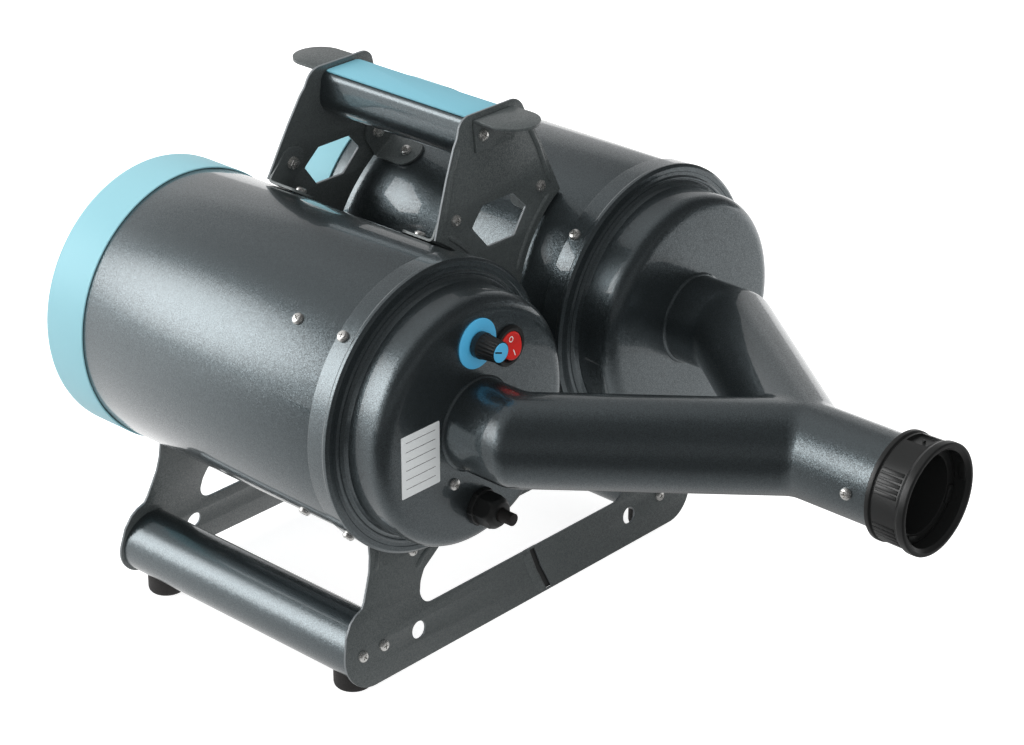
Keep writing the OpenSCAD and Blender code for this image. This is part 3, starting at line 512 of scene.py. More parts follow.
def build_caps(pitch):
    """Rear caps: a deep ring with a grille of rings, a hub and six spokes."""
    low, high, half = 197.5, 199.5, 1.6         # the grille's faces along the drum, half a bar's width
    shell = [(75.06, 170, 0.2), (76, 170, 0.5), (76, 200, 4), (62, 200, 1), (62, 197.6, 0.4),
             (73, 197.6, 1.5), (73, 185.2, 0.3), (71, 185.2, 0.3), (71, 182.6, 0.3), (75.06, 182.6, 0.2)]
    hub = [(3, low, 0.3), (6, low, 0.3), (6, high, 0.8), (3, high, 0.3)]
    for s, tag in SIDES:
        bm = bmesh.new()
        turned(bm, shell, s * DX, DZ, 160, 6)
        r = 12.0
        while r <= DR - 16:
            ring = [(r - half, low, 0.5), (r + half, low, 0.5), (r + half, high, 0.7), (r - half, high, 0.7)]
            turned(bm, ring, s * DX, DZ)
            r += pitch
        turned(bm, hub, s * DX, DZ, 48)
        for a in range(0, 360, 60):
            block(bm, (5.0, low, -half), (63.0, high - 0.1, half), about(s * DX, DZ, a, YS), 0.5)
        link(f"rear_cap_{tag}", bm, f"cap_{tag}", "cap_blue", f"cap_{tag}")


def build_pipe(seg, rounding):
    """Forked pipe: equal tubes cut at the planes between them, the seams rounded, a collar at each cover."""
    fork, mouth = Vector((OX, JOIN, DZ)), Vector((OX, COUP - 11.5, DZ))
    bends = [Vector((s * DX, BEND, DZ)) for s, _ in SIDES]
    arms = [(b - fork).normalized() for b in bends]
    up, out, back = Vector((0, 0, 1)), Vector((0, -1, 0)), Vector((0, 1, 0))
    to_mouth = [(arm - out).normalized() for arm in arms]
    between = (arms[0] - arms[1]).normalized()
    bm = bmesh.new()

    def limb(r, way, start, stop):
        """Tube of radius r along way; start and stop are a point and the normals of its cutting planes."""
        side = up.cross(way)
        rows = []
        for (at, normals), pick in ((start, max), (stop, min)):
            row = []
            for a in turn(seg):
                off = side * (r * math.cos(a)) + up * (r * math.sin(a))
                slide = pick((-off.dot(q) / way.dot(q) for q in normals), default=0.0)
                row.append(bm.verts.new(at + off + way * slide))
            rows.append(row)
        skin(bm, rows)
        return rows[1]
    ends = []
    for r in (PR, PR - PT):
        for bend, arm, normal in zip(bends, arms, to_mouth):
            knee = [(back + arm).normalized()]
            limb(r, arm, (fork, [normal, between]), (bend, knee))
            ends.append(limb(r, back, (bend, knee), (Vector((bend.x, FACE + 1.5, DZ)), [])))
        ends.append(limb(r, out, (fork, to_mouth), (mouth, [])))
    for outer, inner in zip(ends[:3], ends[3:]):
        skin(bm, [outer, inner])
    bmesh.ops.remove_doubles(bm, verts=bm.verts, dist=0.02)
    bmesh.ops.recalc_face_normals(bm, faces=bm.faces)
    bm.normal_update()
    soften(bm, [e for e in bm.edges if e.is_manifold and 0.12 < e.calc_face_angle(0) < 1.4
                and min((v.co - mouth).length for v in e.verts) > 30], rounding, 4)
    for s, _ in SIDES:
        turned(bm, [(23.9, -36.5, 0), (30, -36.5, 0.3), (30, -34, 0.3), (23.9, -34, 0)], s * DX, DZ, 64, 2)
        weld = [(23.7, 0.2), (25.2, 0.2), (25.0, -0.6, 0.3), (24.2, -1.1, 0.3), (23.7, -1.2)]
        turned(bm, weld, s * DX, DZ, y0=FACE)
    link("air_pipe", bm, "manifold", "body_paint", angle=28, merge=False)


def build_coupling(ribs):
    """Hose coupling: the shell with two windows, its ribs and lugs, and the ring inside it."""
    lip = LIP - YS
    windows = (-83, -263)
    shell = [(23.9, -231, 0.2), (27.9, -231, 0.5), (27.9, -233.6, 0.5), (26.9, -234, 0.3),
             (27.2, -234.8, 0.4), (27.4, -248.4, 0.3), (27.9, -249, 0.4), (28.5, -250.2, 0.8),
             (28.5, lip, 0.9), (26.4, lip, 0.5), (25.4, lip + 0.9, 0.5), (24.4, lip + 1.6, 0.3),
             (24.4, -245.7, 0.2), (24.9, -245.7), (24.9, -245.2), (23.9, -245.2)]
    inner = [(19.8, -245.2, 0.4), (23.8, -245.2, 0.4), (23.8, -242.5, 0), (21.8, -242.5, 0), (21.8, -213, 0),
             (19.8, -213, 0)]

    def blocks(bm, angles, lo, hi, edge):
        """The same block at each angle round the coupling, its corners as (radius, y, across)."""
        for a in angles:
            block(bm, lo, hi, about(OX, DZ, a, YS), edge)
    bm = bmesh.new()
    turned(bm, shell, OX, DZ, 160, 4)
    ob = link("hose_coupling", bm, "coupling", "black_plastic")
    tool = bmesh.new()
    blocks(tool, windows, (25.3, -247.2, -6.5), (36, -235.8, 6.5), 0.15)
    cut(ob, tool)
    bm = bmesh.new()
    fan = [a - 12 + 24 * i / (ribs - 1) for a in (-30, -150, -210, -330) for i in range(ribs)]
    blocks(bm, fan, (26.2, -247.6, -1.0), (27.68, -235.0, 1.0), 0.3)
    blocks(bm, windows, (24.9, -242.3, -0.7), (26.5, -240.9, 0.7), 0.3)
    blocks(bm, (-12, 168), (23.9, -252.2, -6.5), (24.9, -248.4, 6.5), 0.25)
    link("coupling_ribs", bm, "coupling", "black_plastic")
    bm = bmesh.new()
    turned(bm, inner, OX, DZ, 128)
    blocks(bm, range(20, 360, 90), (20.2, -246.4, -4.4), (23.6, -244.8, 4.4), 0.4)
    link("coupling_inner_ring", bm, "coupling_ring", "black_plastic")


def on_sheet(points, rear, side=1):
    """Points (across, height, rounding) as (across, up the sheet, rounding), mirrored where side is -1."""
    return [(side * p[0], pv(p[1], rear), *p[2:]) for p in points]


def plate_outline(rear):
    """Outline of an end plate: lobes at the base tubes, edges hollowed to the drums, and a narrow top."""
    lobe = [(135.2, 39.4), (131.2, 46.2), (127.2, 49.2), (122.3, 51.1), (120.4, 54.2), (117.3, 61.8),
            (114.6, 69.0), (113.2, 77.0)]
    neck = [(40.3, UPZ + 14), (35.5, UPZ + 25.4), (28.6, UPZ + 39.9), (25.6, UPZ + 44.2)]
    half = [(0, 0)] + arc(TX, pv(TZ, rear), 19.6, -90, 12, 22)
    half += on_sheet(lobe + arc(DX, DZ, 77, -67.9, -241.5, 72) + neck, rear)
    return mirrored(half + arc(15.6, pv(GRIP - 5.2, rear), 9.2, 15, 90, 10))


def plate_holes(rear):
    """Long window over the lower bar, hexagon window at the neck, and a round hole beside each base tube."""
    sill, corner = BAR + 29.3, 9
    half = [(0, pv(sill, rear))] + arc(DX - 12, pv(sill, rear) + corner, corner, -90, 0, 12)
    side = [(DX - 3.2, sill + corner), (DX - 4.2, sill + 14.5, 6), (DX - 7.5, sill + 20.3, 6),
            (DX - 15, sill + 25, 8), (DX - 26, WEB - 0.5, 8), (0, WEB)]
    half += rounded(on_sheet(side, rear), 4)[1:]
    six = mirrored([(11.4, UPZ + 5), (20.5, UPZ - 4.6), (10, UPZ - 17.5)])
    hexagon = rounded(on_sheet([(x, z, 1.5) for x, z in six], rear), 4)
    rounds = [circle(s * (DX + 0.3), pv(TZ - 2.3, rear), 4.9, 36) for s, _ in SIDES]
    return [mirrored(half), hexagon] + rounds


def lap_joint(bm, bead):
    """Joint in the front plate's lower bar: adds a black strip behind its gap as painted shade, and a bead;
    returns the gap that shows the strip.
    """
    line = [(3.0, 34.7), (5.2, 28.2), (7.2, 22.0), (10.6, 14.6), (14.0, 7.1)]
    place = on_plate(0)

    def strip(left, right):
        """Outline between the line shifted to the left and the line shifted to the right."""
        return on_sheet([(x + left, z) for x, z in line] + [(x + right, z) for x, z in line[::-1]], 0)
    # black plastic strip just behind the sheet: painted shade seen through the gap
    prism(bm, strip(-3.0, 6.4), place, -SHEET - 1.2, 0.02 - SHEET, 2)
    ridge(bm, on_sheet([(x - 4.0, z) for x, z in line], 0), place, 3.0, bead)
    return strip(-0.4, 3.8)


def add_tab(bm, side, up, rear):
    """Strip between plate and drum: above a bracket screwed behind the sheet, below a tab bent from it."""
    a = tab_angle(side, up)
    out = Vector((math.cos(a), 0, math.sin(a)))
    along = Vector((-math.sin(a), 0, math.cos(a)))
    axis = Vector((side * DX, 0, DZ))

    def plate_y(q):
        """Where the plate's outer face stands at the distance q from the drum's axis."""
        return face_y(DZ + q * math.sin(a), rear)

    def put(q, y, w):
        """Point at the distance q from the axis, w round the drum, following the plate's lean."""
        at = axis + out * q + along * w
        at.y = flip(y + w * along.z * math.tan(LEAN[rear]), rear)
        return at
    reach, back = (BRACKET, SHEET + 0.02) if up else (DR + 3.6, 0.03)
    path = rounded([(reach, plate_y(reach) + back), (DRUM_SEAT, plate_y(DRUM_SEAT) + back, 3.5),
                    (DRUM_SEAT, plate_y(DR + 1) + 28)], 7)
    bent(bm, path, 9.0, -SHEET, put, up)


def build_plates(bead):
    """End plates with their pressed beads, brackets and tabs."""
    neck = ((25.3, 269.9), (32.6, 254.4), (37.3, 239.9), (40.6, 231.5))
    beads = (neck, arc(DX, DZ, 81.5, 124, 156, 8), ((107.4, 79.0), (110.2, 67.5)),
             ((69.5, 66.7), (76.5, 63.2), (82.6, 57.6)))
    for rear, tag in ENDS:
        bm = bmesh.new()
        place = on_plate(rear)
        holes = plate_holes(rear)
        if not rear:
            holes.append(lap_joint(bm, bead))
        sheet(bm, plate_outline(rear), holes, place)
        for s, _ in SIDES:
            for line in beads:
                ridge(bm, on_sheet(line, rear, s), place, 2 * bead, bead)
            add_tab(bm, s, True, rear)
            add_tab(bm, s, False, rear)
        # second material: the paler edge coat, a painted highlight; third: the black strip of painted shade
        # in the lap joint
        link(f"end_plate_{tag}", bm, f"plate_{tag}", "frame_paint", more=("frame_edge_highlight", "black_plastic"))


def build_tubes(wall):
    """Base tubes, cut to the lean of both end plates."""
    for s, tag in ((-1, "near"), (1, "far")):
        bm = bmesh.new()
        skin(bm, [[bm.verts.new((x, inner_y(z, rear), z)) for x, z in circle(s * TX, TZ, r, 96)]
                  for r, rear in ((TR, 0), (TR, 1), (TR - wall, 1), (TR - wall, 0))], True)
        link(f"base_tube_{tag}", bm, f"tube_{tag}", "body_paint")


def build_feet():
    """Rubber feet with a screw hole, hollowed on top to the base tubes."""
    hole, rim, gap = 3.4, 10.4, 0.05
    foot = ((hole, 3.0), (hole, 0.3), (3.8, 0.0), (8.6, 0.0), (9.5, 0.35), (10.1, 1.1), (rim, 2.2))
    bm = bmesh.new()
    for s, _ in SIDES:
        for y in FOOT_Y:
            rings = [[bm.verts.new((s * TX + u, y + v, z)) for u, v in circle(0, 0, r, 64)] for r, z in foot]
            rings += [[bm.verts.new((s * TX + u, y + v, TZ - math.sqrt(TR * TR - u * u) - gap))
                       for u, v in circle(0, 0, r, 64)] for r in (rim, hole)]
            skin(bm, rings, True)
    link("rubber_feet", bm, "feet", "rubber")


def level(u, v, n):
    """Place for a slab that lies flat at the height n."""
    return (u, v, n)


def upright(u, v, n):
    """Place for a slab that stands across the drums, n along them."""
    return (u, n, v)


def build_grip():
    """Grip bar, half round below and flat on top, and the bare name plate on it."""
    half, corner = 14.0, 4.0
    low = arc(0, GRIP - 13, half, -90, 0, 15)
    outline = mirrored(low + arc(half - corner, GRIP - corner, corner, 0, 90, 6))
    bm = bmesh.new()
    front, rear = ([bm.verts.new((x, inner_y(z, end), z)) for x, z in outline] for end in (0, 1))
    bm.faces.new(front)
    bm.faces.new(rear[::-1])
    skin(bm, [front, rear])
    link("grip_bar", bm, "grip", "body_paint")
    half, y0, y1, corner = 12, YS + 30.9, YS + 136.1, 1.8
    plate = rounded([(half, y0, corner), (half, y1, corner), (-half, y1, corner), (-half, y0, corner)])
    bm = bmesh.new()
    prism(bm, plate, level, GRIP, GRIP + 0.8, 0, 0.25)
    link("name_plate_blank", bm, "name_plate", "plate_blue")


def build_ears(half):
    """Ear plates: flat on the sheet, then bent out level at its top."""
    tip = 29.3
    for rear, tag in ENDS:
        place = on_plate(rear)
        top = pv(GRIP + SHEET, rear)

        def put(a, b, w):
            """Point a up the sheet, b out of it and w across."""
            return place(w, a, b)
        path = rounded([(pv(GRIP - 16, rear), 0.02), (top, 0.02, 2.2),
                        (top - tip * math.sin(LEAN[rear]), tip * math.cos(LEAN[rear]))], 6)
        bm = bmesh.new()
        bent(bm, path, half, SHEET, put)
        link(f"ear_plate_{tag}", bm, f"ear_{tag}", "frame_paint")


def build_knob(flutes):
    """Dial disc, the fluted knob on its shaft, and the knob's blue cap with a pointer."""
    x, z = KNOB
    bm = bmesh.new()
    turned(bm, [(4.1, 0, 0.1), (13.0, 0, 0.2), (13.0, -1.0, 0.4), (4.1, -1.0, 0.2)], x, z, y0=FACE)
    link("dial_disc", bm, "dial", "dial_blue")

    def flute(a, r, y):
        """Depth of the flutes, which run between the skirt and the top edge."""
        if r < 5.2 or not -15.6 <= y <= -5.6:
            return 0.0
        return 0.5 * (0.5 + 0.5 * math.cos(flutes * a)) ** 2
    knob = [(3.0, -1.6), (6.8, -1.6, 0.4), (6.8, -5.0, 0.5), (6.5, -5.4), (6.45, -6.2), (5.6, -14.9),
            (5.5, -16.0, 0.3), (5.1, -16.0, 0.1), (5.05, -14.9), (3.0, -14.9)]
    bm = bmesh.new()
    turned(bm, knob, x, z, 216, 4, FACE, flute)
    turned(bm, [(0, -14.9), (3.0, -14.9), (3.0, -1.6), (3.0, 4), (0, 4)], x, z, 48, y0=FACE)
    link("speed_knob", bm, "knob", "black_plastic", "knob", angle=40)
    bm = bmesh.new()
    turned(bm, [(0, -14.8), (5.0, -14.8, 0.1), (5.0, -16.28, 0.35), (0, -16.28)], x, z, 72, 4, FACE)
    block(bm, (-4.8, -16.31, -0.45), (0.4, -16.1, 0.45), about(x, z, 20, FACE), 0.04, 1)
    link("knob_cap_blue", bm, "knob_cap", "dial_blue", "knob", ("black_ink",))


def build_switch(steps):
    """Rocker switch: bezel with body and lugs, and the rocker with its off side pressed in."""
    x, z = SWITCH
    bezel = [(7.5, 4.5), (9.3, 4.5, 0.2), (9.3, 0, 0.1), (10.8, 0, 0.2), (10.8, -1.2, 0.9), (9.9, -2.0, 0.6),
             (8.2, -1.9, 0.4), (7.5, -1.0, 0.3)]
    bm = bmesh.new()
    turned(bm, bezel, x, z, n=4, y0=FACE)
    turned(bm, [(9.25, 4.4), (9.25, 17), (0, 17), (0, 4.4)], x, z, 48, y0=FACE)
    for up in (-5, 0, 5):
        block(bm, (x - 2, FACE + 17, z + up - 0.4), (x + 2, FACE + 23, z + up + 0.4), None, 0.1)
    link("switch_housing", bm, "switch_body", "black_plastic")

    radius, rim, under, seg = 7.2, 6.7, 1.6, 64
    tilt = Matrix.Translation((x, FACE + 2.0, z)) @ Matrix.Rotation(math.radians(-9), 4, "X")
    bm = bmesh.new()

    def spot(u, w, lift):
        """Vertex of the rocker, lift mm behind its two faces, which meet in a shallow valley at w = 0."""
        return bm.verts.new(tilt @ Vector((u, lift - 4.9 - 0.85 * min(1.0, abs(w) / radius) ** 1.3, w)))

    def mark(outer, inner):
        """Print just proud of the rocker between two outlines, turned with the switch."""
        c, d = math.cos(math.radians(9)), math.sin(math.radians(9))
        rows = [[spot(u * c - w * d, u * d + w * c, -0.06) for u, w in line] for line in (outer, inner)]
        for face in skin(bm, rows):
            face.material_index = 1
    rings = [[spot(0, 0, 0)]]
    for i in range(1, steps + 1):
        r = radius * math.sin(math.pi / 2 * i / steps)
        rings.append([spot(u, w, 1.2 * max(0.0, r - rim)) for u, w in circle(0, 0, r, seg)])
    rings.append([bm.verts.new(tilt @ Vector((u, under, w))) for u, w in circle(0, 0, radius, seg)])
    rings.append([bm.verts.new(tilt @ Vector((0, under, 0)))])
    skin(bm, rings)
    mark(circle(0, 3.7, 1.55, 36), circle(0, 3.7, 1.05, 36))
    rise = [-5.1 + 3.0 * i / 8 for i in range(9)]
    mark(*([(h, w) for w in rise] + [(-h, w) for w in rise[::-1]] for h in (0.28, 0.01)))
    link("rocker_red", bm, "rocker", "red_plastic", "rocker", ("white_ink",), 40, False)


def build_label(thick):
    """Bare rating label with six thin rules."""
    x0, x1, z0, z1 = -DX - 53, -DX - 26.6, DZ - 22, DZ + 11.4
    corner, margin, top = 0.6, 3, FACE - thick
    foil = rounded([(x0, z0, corner), (x1, z0, corner), (x1, z1, corner), (x0, z1, corner)], 4)
    bm = bmesh.new()
    prism(bm, foil, upright, FACE, top, 0, 0.05)
    for i in range(6):
        row = z0 + 4.5 + 5.0 * i
        block(bm, (x0 + margin, top - 0.03, row), (x1 - margin, top + 0.02, row + 0.3), None, 0.005, 1)
    link("rating_label_blank", bm, "label", "label_silver", more=("black_ink",))


def build_gland(radius):
    """Cable gland: hexagon flange, thread and lock nut, the dome nut with six flats, and the cable's end."""
    x, z = GLAND
    bm = bmesh.new()
    prism(bm, circle(x, z, radius + 0.6, 6), upright, FACE - 3.5, FACE, 0, 0.5)
    turned(bm, [(4.9, 0, 0), (radius, 0, 0.3), (radius, -3.4, 0.8), (4.9, -3.4, 0)], x, z, 64, y0=FACE)
    turned(bm, [(5, -3.4), (7.5, -3.4), (7.5, -9), (5, -9)], x, z, 48, y0=FACE)
    prism(bm, circle(x, z, radius, 6), upright, FACE + 1.5, FACE + 5.5, 0, 0.4)
    link("gland_body", bm, "gland", "black_plastic")

    def flats(a, r, y):
        """Cuts the dome nut to its six flats, 15.8 across, in front of its rear face."""
        return max(0.0, r - 7.9 / math.cos(a % (math.pi / 3) - math.pi / 6)) if y < -3.6 else 0
    dome = [(7.5, -3.5), (9.0, -3.5, 0.3), (9.0, -4.2), (9.0, -10.4, 0.6), (8.3, -12.6, 1.6),
            (6.4, -14.6, 1.2), (4.2, -15.0, 0.5), (3.4, -14.6, 0.2), (3.4, -8.2), (7.5, -8.2)]
    bm = bmesh.new()
    turned(bm, dome, x, z, 144, 5, FACE, flats)
    link("gland_dome_nut", bm, "gland_nut", "black_plastic", angle=40)
    bm = bmesh.new()
    turned(bm, [(0, -22.9), (3.3, -22.9, 0.25), (3.3, 13.5, 0.2), (0, 13.5)], x, z, 48, y0=FACE)
    link("cable_end", bm, "cable_stub", "rubber")


def screw_head(radius):
    """Pan head with a cross recess, seated on z = 0, as its vertices and faces."""
    height, wide, deep, taper = 2.1, 0.32, 1.2, 0.55
    profile = ((radius, 0.0), (radius, 0.7), (radius - 0.12, 1.2), (radius - 0.5, 1.7),
               (radius - 1.0, height - 0.06))
    bm = bmesh.new()
    rings = [[bm.verts.new((u, v, z)) for u, v in circle(0, 0, r, 28)] for r, z in profile]
    skin(bm, rings)
    bm.faces.new(rings[0][::-1])
    arm = [(radius - 1.45, -wide), (radius - 1.45, wide), (wide, wide)]
    cross = []
    for _ in range(4):
        cross += arm
        arm = [(-v, u) for u, v in arm]
    hi = [bm.verts.new((u, v, height)) for u, v in cross]
    lo = [bm.verts.new((u * taper, v * taper, height - deep)) for u, v in cross]
    es = [bm.edges.new((p, q)) for p, q in zip(hi, hi[1:] + hi[:1])]
    rim = [e for e in bm.edges if all(v in rings[-1] for v in e.verts)]
    bmesh.ops.triangle_fill(bm, use_beauty=True, use_dissolve=False, edges=es + rim)
    for f in [f for f in bm.faces if len(f.verts) == 3 and all(v in hi for v in f.verts)]:
        bm.faces.remove(f)
    skin(bm, [hi, lo])
    bm.faces.new(lo)
    bmesh.ops.recalc_face_normals(bm, faces=bm.faces)
    bm.verts.index_update()
    verts = [v.co.copy() for v in bm.verts]
    faces = [[v.index for v in f.verts] for f in bm.faces]
    bm.free()
    return verts, faces


def put_screws(bm, head, seats):
    """Sets a head on each seat (place, outward direction), each turned further than the one before."""
    verts, faces = head
    for i, (at, out) in enumerate(seats):
        aim = Vector(out).to_track_quat("Z", "Y").to_matrix().to_4x4()
        move = Matrix.Translation(at) @ aim @ Matrix.Rotation(i * 2.4, 4, "Z")
        vs = [bm.verts.new(move @ v) for v in verts]
        for f in faces:
            bm.faces.new([vs[j] for j in f])


def drum_screws():
    """Seats at the cover skirts, the shells, the brackets and the tabs."""
    seats = []
    for s, _ in SIDES:
        def seat(a, r, y, s=s):
            """Adds a seat at a radians round the drum."""
            out = Vector((math.cos(a), 0, math.sin(a)))
            seats.append((Vector((s * DX, y, DZ)) + out * r, out))
        for a in (45, 135, 225, 315):
            seat(math.radians(a), DR + 2, YS - 3.8)
            seat(math.radians(a), DR, YS + 29)
        for up in (True, False):
            a = tab_angle(s, up)
            for rear, _ in ENDS:
                seat(a, DR + 2.02, flip(face_y(DZ + (DR + 1) * math.sin(a), rear) + 19, rear))
    return seats


def face_screws():
    """Seats at the near pipe flange, the coupling and the control board in the near drum."""
    front = Vector((0, -1, 0))
    seats = [(Vector((-DX + x, FACE, DZ + z)), front) for x, z in arc(0, 0, 32, 239, 359, 1)]
    seats.append((Vector((OX - PR, COUP + 13, DZ)), Vector((-1, 0, 0))))
    return seats + [(Vector((-DX + x, YS + 16, DZ + z)), front) for x in (-20, 20) for z in (-58, -36)]


def build_screws(radius):
    """All screws, and the nuts with washers behind the end plates."""
    frame_seats, nuts = [], []
    for rear, _ in ENDS:
        place = on_plate(rear)
        out = Vector(place(0, 0, 1)) - Vector(place(0, 0, 0))
        for s, _ in SIDES:
            for u, z, n in ((TX - 7.6, TZ, 0), (TX + 7.6, TZ, 0), (32, UPZ + 3, 0), (8.8, GRIP - 8.2, SHEET),
                            (DX, WEB + 1, 0)):
                frame_seats.append((Vector(place(s * u, pv(z, rear), n)), out))
            for u, z, n in ((32, UPZ + 3, -2 * SHEET), (DX, WEB + 1, -SHEET)):
                nuts.append((place, s * u, pv(z, rear), n))
            frame_seats.append((Vector((s * TX, FOOT_Y[rear], 3.0)), Vector((0, 0, -1))))
    head = screw_head(radius)
    heads = {}
    for name, seats in (("drums", drum_screws()), ("frame", frame_seats), ("face", face_screws())):
        heads[name] = bmesh.new()
        put_screws(heads[name], head, seats)
    # washer, hexagon nut and screw end: radius, corners, rear and front face behind the sheet, edge
    stack = ((3.5, 32, 0.5, 0.0, 0.1), (3.2, 6, 2.9, 0.5, 0.35), (1.5, 16, 3.4, 0.5, 0.25))
    for place, u, v, n in nuts:
        for r, corners, rear, front, edge in stack:
            prism(heads["frame"], circle(u, v, r, corners), place, n - rear, n - front, 0, edge)
    for name, node in (("drums", "screws_drums"), ("frame", "screws_frame"), ("face", "screws_front")):
        link(f"screws_on_{name}", heads[name], node, "screw_steel", angle=30, merge=False)


def finish_inside():
    """The hidden machinery keeps its own meshes; each takes the finish of its slot."""
    slots = {q["node"]: q["material_slot"] for q in frame["record"]["subparts"]}
    for name, ob in frame["nodes"].items():
        ob.data.materials.clear()
        ob.data.materials.append(MAT[slots[name]])
        smooth(ob.data, 30)


# ---- stage ----
def reflected(tree):
    """One where a ray is a reflection or refraction, else zero."""
    rays = add_node(tree, "ShaderNodeLightPath")
    kinds = {0: rays.outputs["Is Glossy Ray"], 1: rays.outputs["Is Transmission Ray"]}
    return add_node(tree, "ShaderNodeMath", kinds, operation="MAXIMUM").outputs[0]


def seen_by_camera(tree):
    """One where a ray comes from the camera, else zero."""
    return add_node(tree, "ShaderNodeLightPath").outputs["Is Camera Ray"]


def make_paper():
    """Matt white paper: it glows for the camera and for reflections, so only the contact shadow shows."""
    white = col("#ffffff")
    paper = surface("paper_white", col("#dcdcdc"), 0.9)
    tree = paper.node_tree
    shader = tree.nodes["Principled BSDF"]
    glow = add_node(tree, "ShaderNodeMath", {0: seen_by_camera(tree), 1: 0.86}, operation="MULTIPLY")
    tree.links.new(glow.outputs[0], shader.inputs["Emission Strength"])
    shader.inputs["Emission Color"].default_value = white
    spot = add_node(tree, "ShaderNodeTexCoord").outputs["Object"]
    # in reflections the floor is pale behind and falls off towards the dark room in front
    side = add_node(tree, "ShaderNodeVectorMath", {0: spot, 1: (0.5, 0.86, 0)}, operation="DOT_PRODUCT")
    pale = add_node(tree, "ShaderNodeMapRange", {
        "Value": side.outputs["Value"], "From Min": -0.33, "From Max": 0.22, "To Min": 0.06, "To Max": 1.1})
    # painted shade: close to the front bar the floor's glow in reflections is dimmed, standing in for the
    # dryer's own shade
    away = add_node(tree, "ShaderNodeVectorMath", {0: spot, 1: (0.1, 0.0, 0.0)}, operation="DISTANCE")
    painted_shade = add_node(tree, "ShaderNodeMapRange", {
        "Value": away.outputs["Value"], "From Min": 0.05, "From Max": 0.17, "To Min": 0.3, "To Max": 1.0})
    glare = add_node(tree, "ShaderNodeMath", {0: pale.outputs[0], 1: painted_shade.outputs[0]}, operation="MULTIPLY")
    bright = add_node(tree, "ShaderNodeEmission", {"Color": white, "Strength": glare.outputs[0]})
    both = add_node(tree, "ShaderNodeMixShader", {
        0: reflected(tree), 1: shader.outputs[0], 2: bright.outputs[0]})
    tree.links.new(both.outputs[0], tree.nodes["Material Output"].inputs["Surface"])
    return paper


def make_studio():
    """World: even light, white to the camera, and in reflections a backdrop, a dim ceiling and a key lamp."""
    world = bpy.data.worlds.new("studio")
    world.use_nodes = True
    tree = world.node_tree
    way = add_node(tree, "ShaderNodeTexCoord").outputs["Generated"]
    axes = add_node(tree, "ShaderNodeSeparateXYZ", {0: way})
    # white backdrop up to about 27 degrees, dim above it, dark in front, and half as bright at the right
    wall = None
    for axis, low, high, first, last in (("Z", 0.40, 0.56, 1.0, 0.45), ("Y", -0.1, 0.45, 0.12, 1.0),
                                         ("X", 0.2, 0.7, 1.0, 0.5)):
        part = add_node(tree, "ShaderNodeMapRange", {
            "Value": axes.outputs[axis], "From Min": low, "From Max": high, "To Min": first, "To Max": last})
        factor = wall.outputs[0] if wall else 1.0
        wall = add_node(tree, "ShaderNodeMath", {0: factor, 1: part.outputs[0]}, operation="MULTIPLY")
    # and the soft disc of the key lamp at the left
    lamp = Vector((-0.62, 0.69, 0.37)).normalized()
    near = add_node(tree, "ShaderNodeVectorMath", {0: way, 1: lamp}, operation="DOT_PRODUCT")
    disc = add_node(tree, "ShaderNodeMapRange", {
        "Value": near.outputs["Value"], "From Min": 0.905, "From Max": 0.995, "To Min": 0.0, "To Max": 3.6},
        interpolation_type="SMOOTHSTEP")
    wall = add_node(tree, "ShaderNodeMath", {0: wall.outputs[0], 1: disc.outputs[0]}, operation="ADD")
    light = add_node(tree, "ShaderNodeMix", {0: reflected(tree), 2: 0.5, 3: wall.outputs[0]})
    final = add_node(tree, "ShaderNodeMix", {0: seen_by_camera(tree), 2: light.outputs[0], 3: 1.0})
    ground = tree.nodes["Background"]
    ground.inputs["Color"].default_value = col("#ffffff")
    tree.links.new(final.outputs[0], ground.inputs["Strength"])
    return world


def aim(ob, target):
    """Turns a lamp or camera to the target."""
    ob.rotation_euler = (Vector(target) - ob.location).to_track_quat("-Z", "Y").to_euler()


def build_stage(power):
    """Floor, three soft lamps that light without being reflected, world and camera, in metres."""
    scene = bpy.context.scene
    reach = 6
    me = bpy.data.meshes.new("floor_sheet")
    corners = ((-reach, -reach, 0), (reach, -reach, 0), (reach, reach, 0), (-reach, reach, 0))
    me.from_pydata(corners, [], [(0, 1, 2, 3)])
    me.materials.append(make_paper())
    floor = bpy.data.objects.new("floor_sheet", me)
    scene.collection.objects.link(floor)
    for name, at, target, wide, tall, radiance in (
            ("key_left", (-1.5, 1.7, 1.05), (-0.05, 0.1, 0.15), 1.3, 1.1, 4.0),
            ("top_fill", (0.2, 0.2, 2.4), (0, 0.1, 0.15), 2.2, 2.2, 1.5),
            ("front_fill", (-1.4, -2.0, 1.2), (0, 0, 0.15), 1.6, 1.4, 2.6)):
        lamp = bpy.data.lights.new(name, "AREA")
        lamp.shape, lamp.size, lamp.size_y = "RECTANGLE", wide, tall
        lamp.energy = radiance * math.pi * wide * tall * power
        ob = bpy.data.objects.new(name, lamp)
        scene.collection.objects.link(ob)
        ob.location = at
        aim(ob, target)
        ob.visible_glossy = False
    scene.world = make_studio()
    lens = bpy.data.cameras.new("camera")
    lens.sensor_width, lens.lens, lens.clip_end = 36, 101.9, 50
    camera = bpy.data.objects.new("camera", lens)
    scene.collection.objects.link(camera)
    camera.location = (-1.01037, -0.88751, 0.80488)
    aim(camera, (-0.01737, 0.02452, 0.15025))
    scene.camera = camera
    scene.view_settings.view_transform = "Standard"


# ---- add-on ----
def length(label, text, mm, least=0.1):
    """Property for a length, given in mm."""
    return FloatProperty(name=label, description=text, default=mm / MM, min=least / MM, unit="LENGTH")


def count(label, text, number, least):
    """Property for a number of things."""
    return IntProperty(name=label, description=text, default=number, min=least)


def tint(label, text):
    """Property for a colour, given as sRGB hex."""
    return FloatVectorProperty(name=label, description=f"Colour: {label.lower()}", subtype="COLOR", size=4,
                               min=0.0, max=1.0, default=col(text))


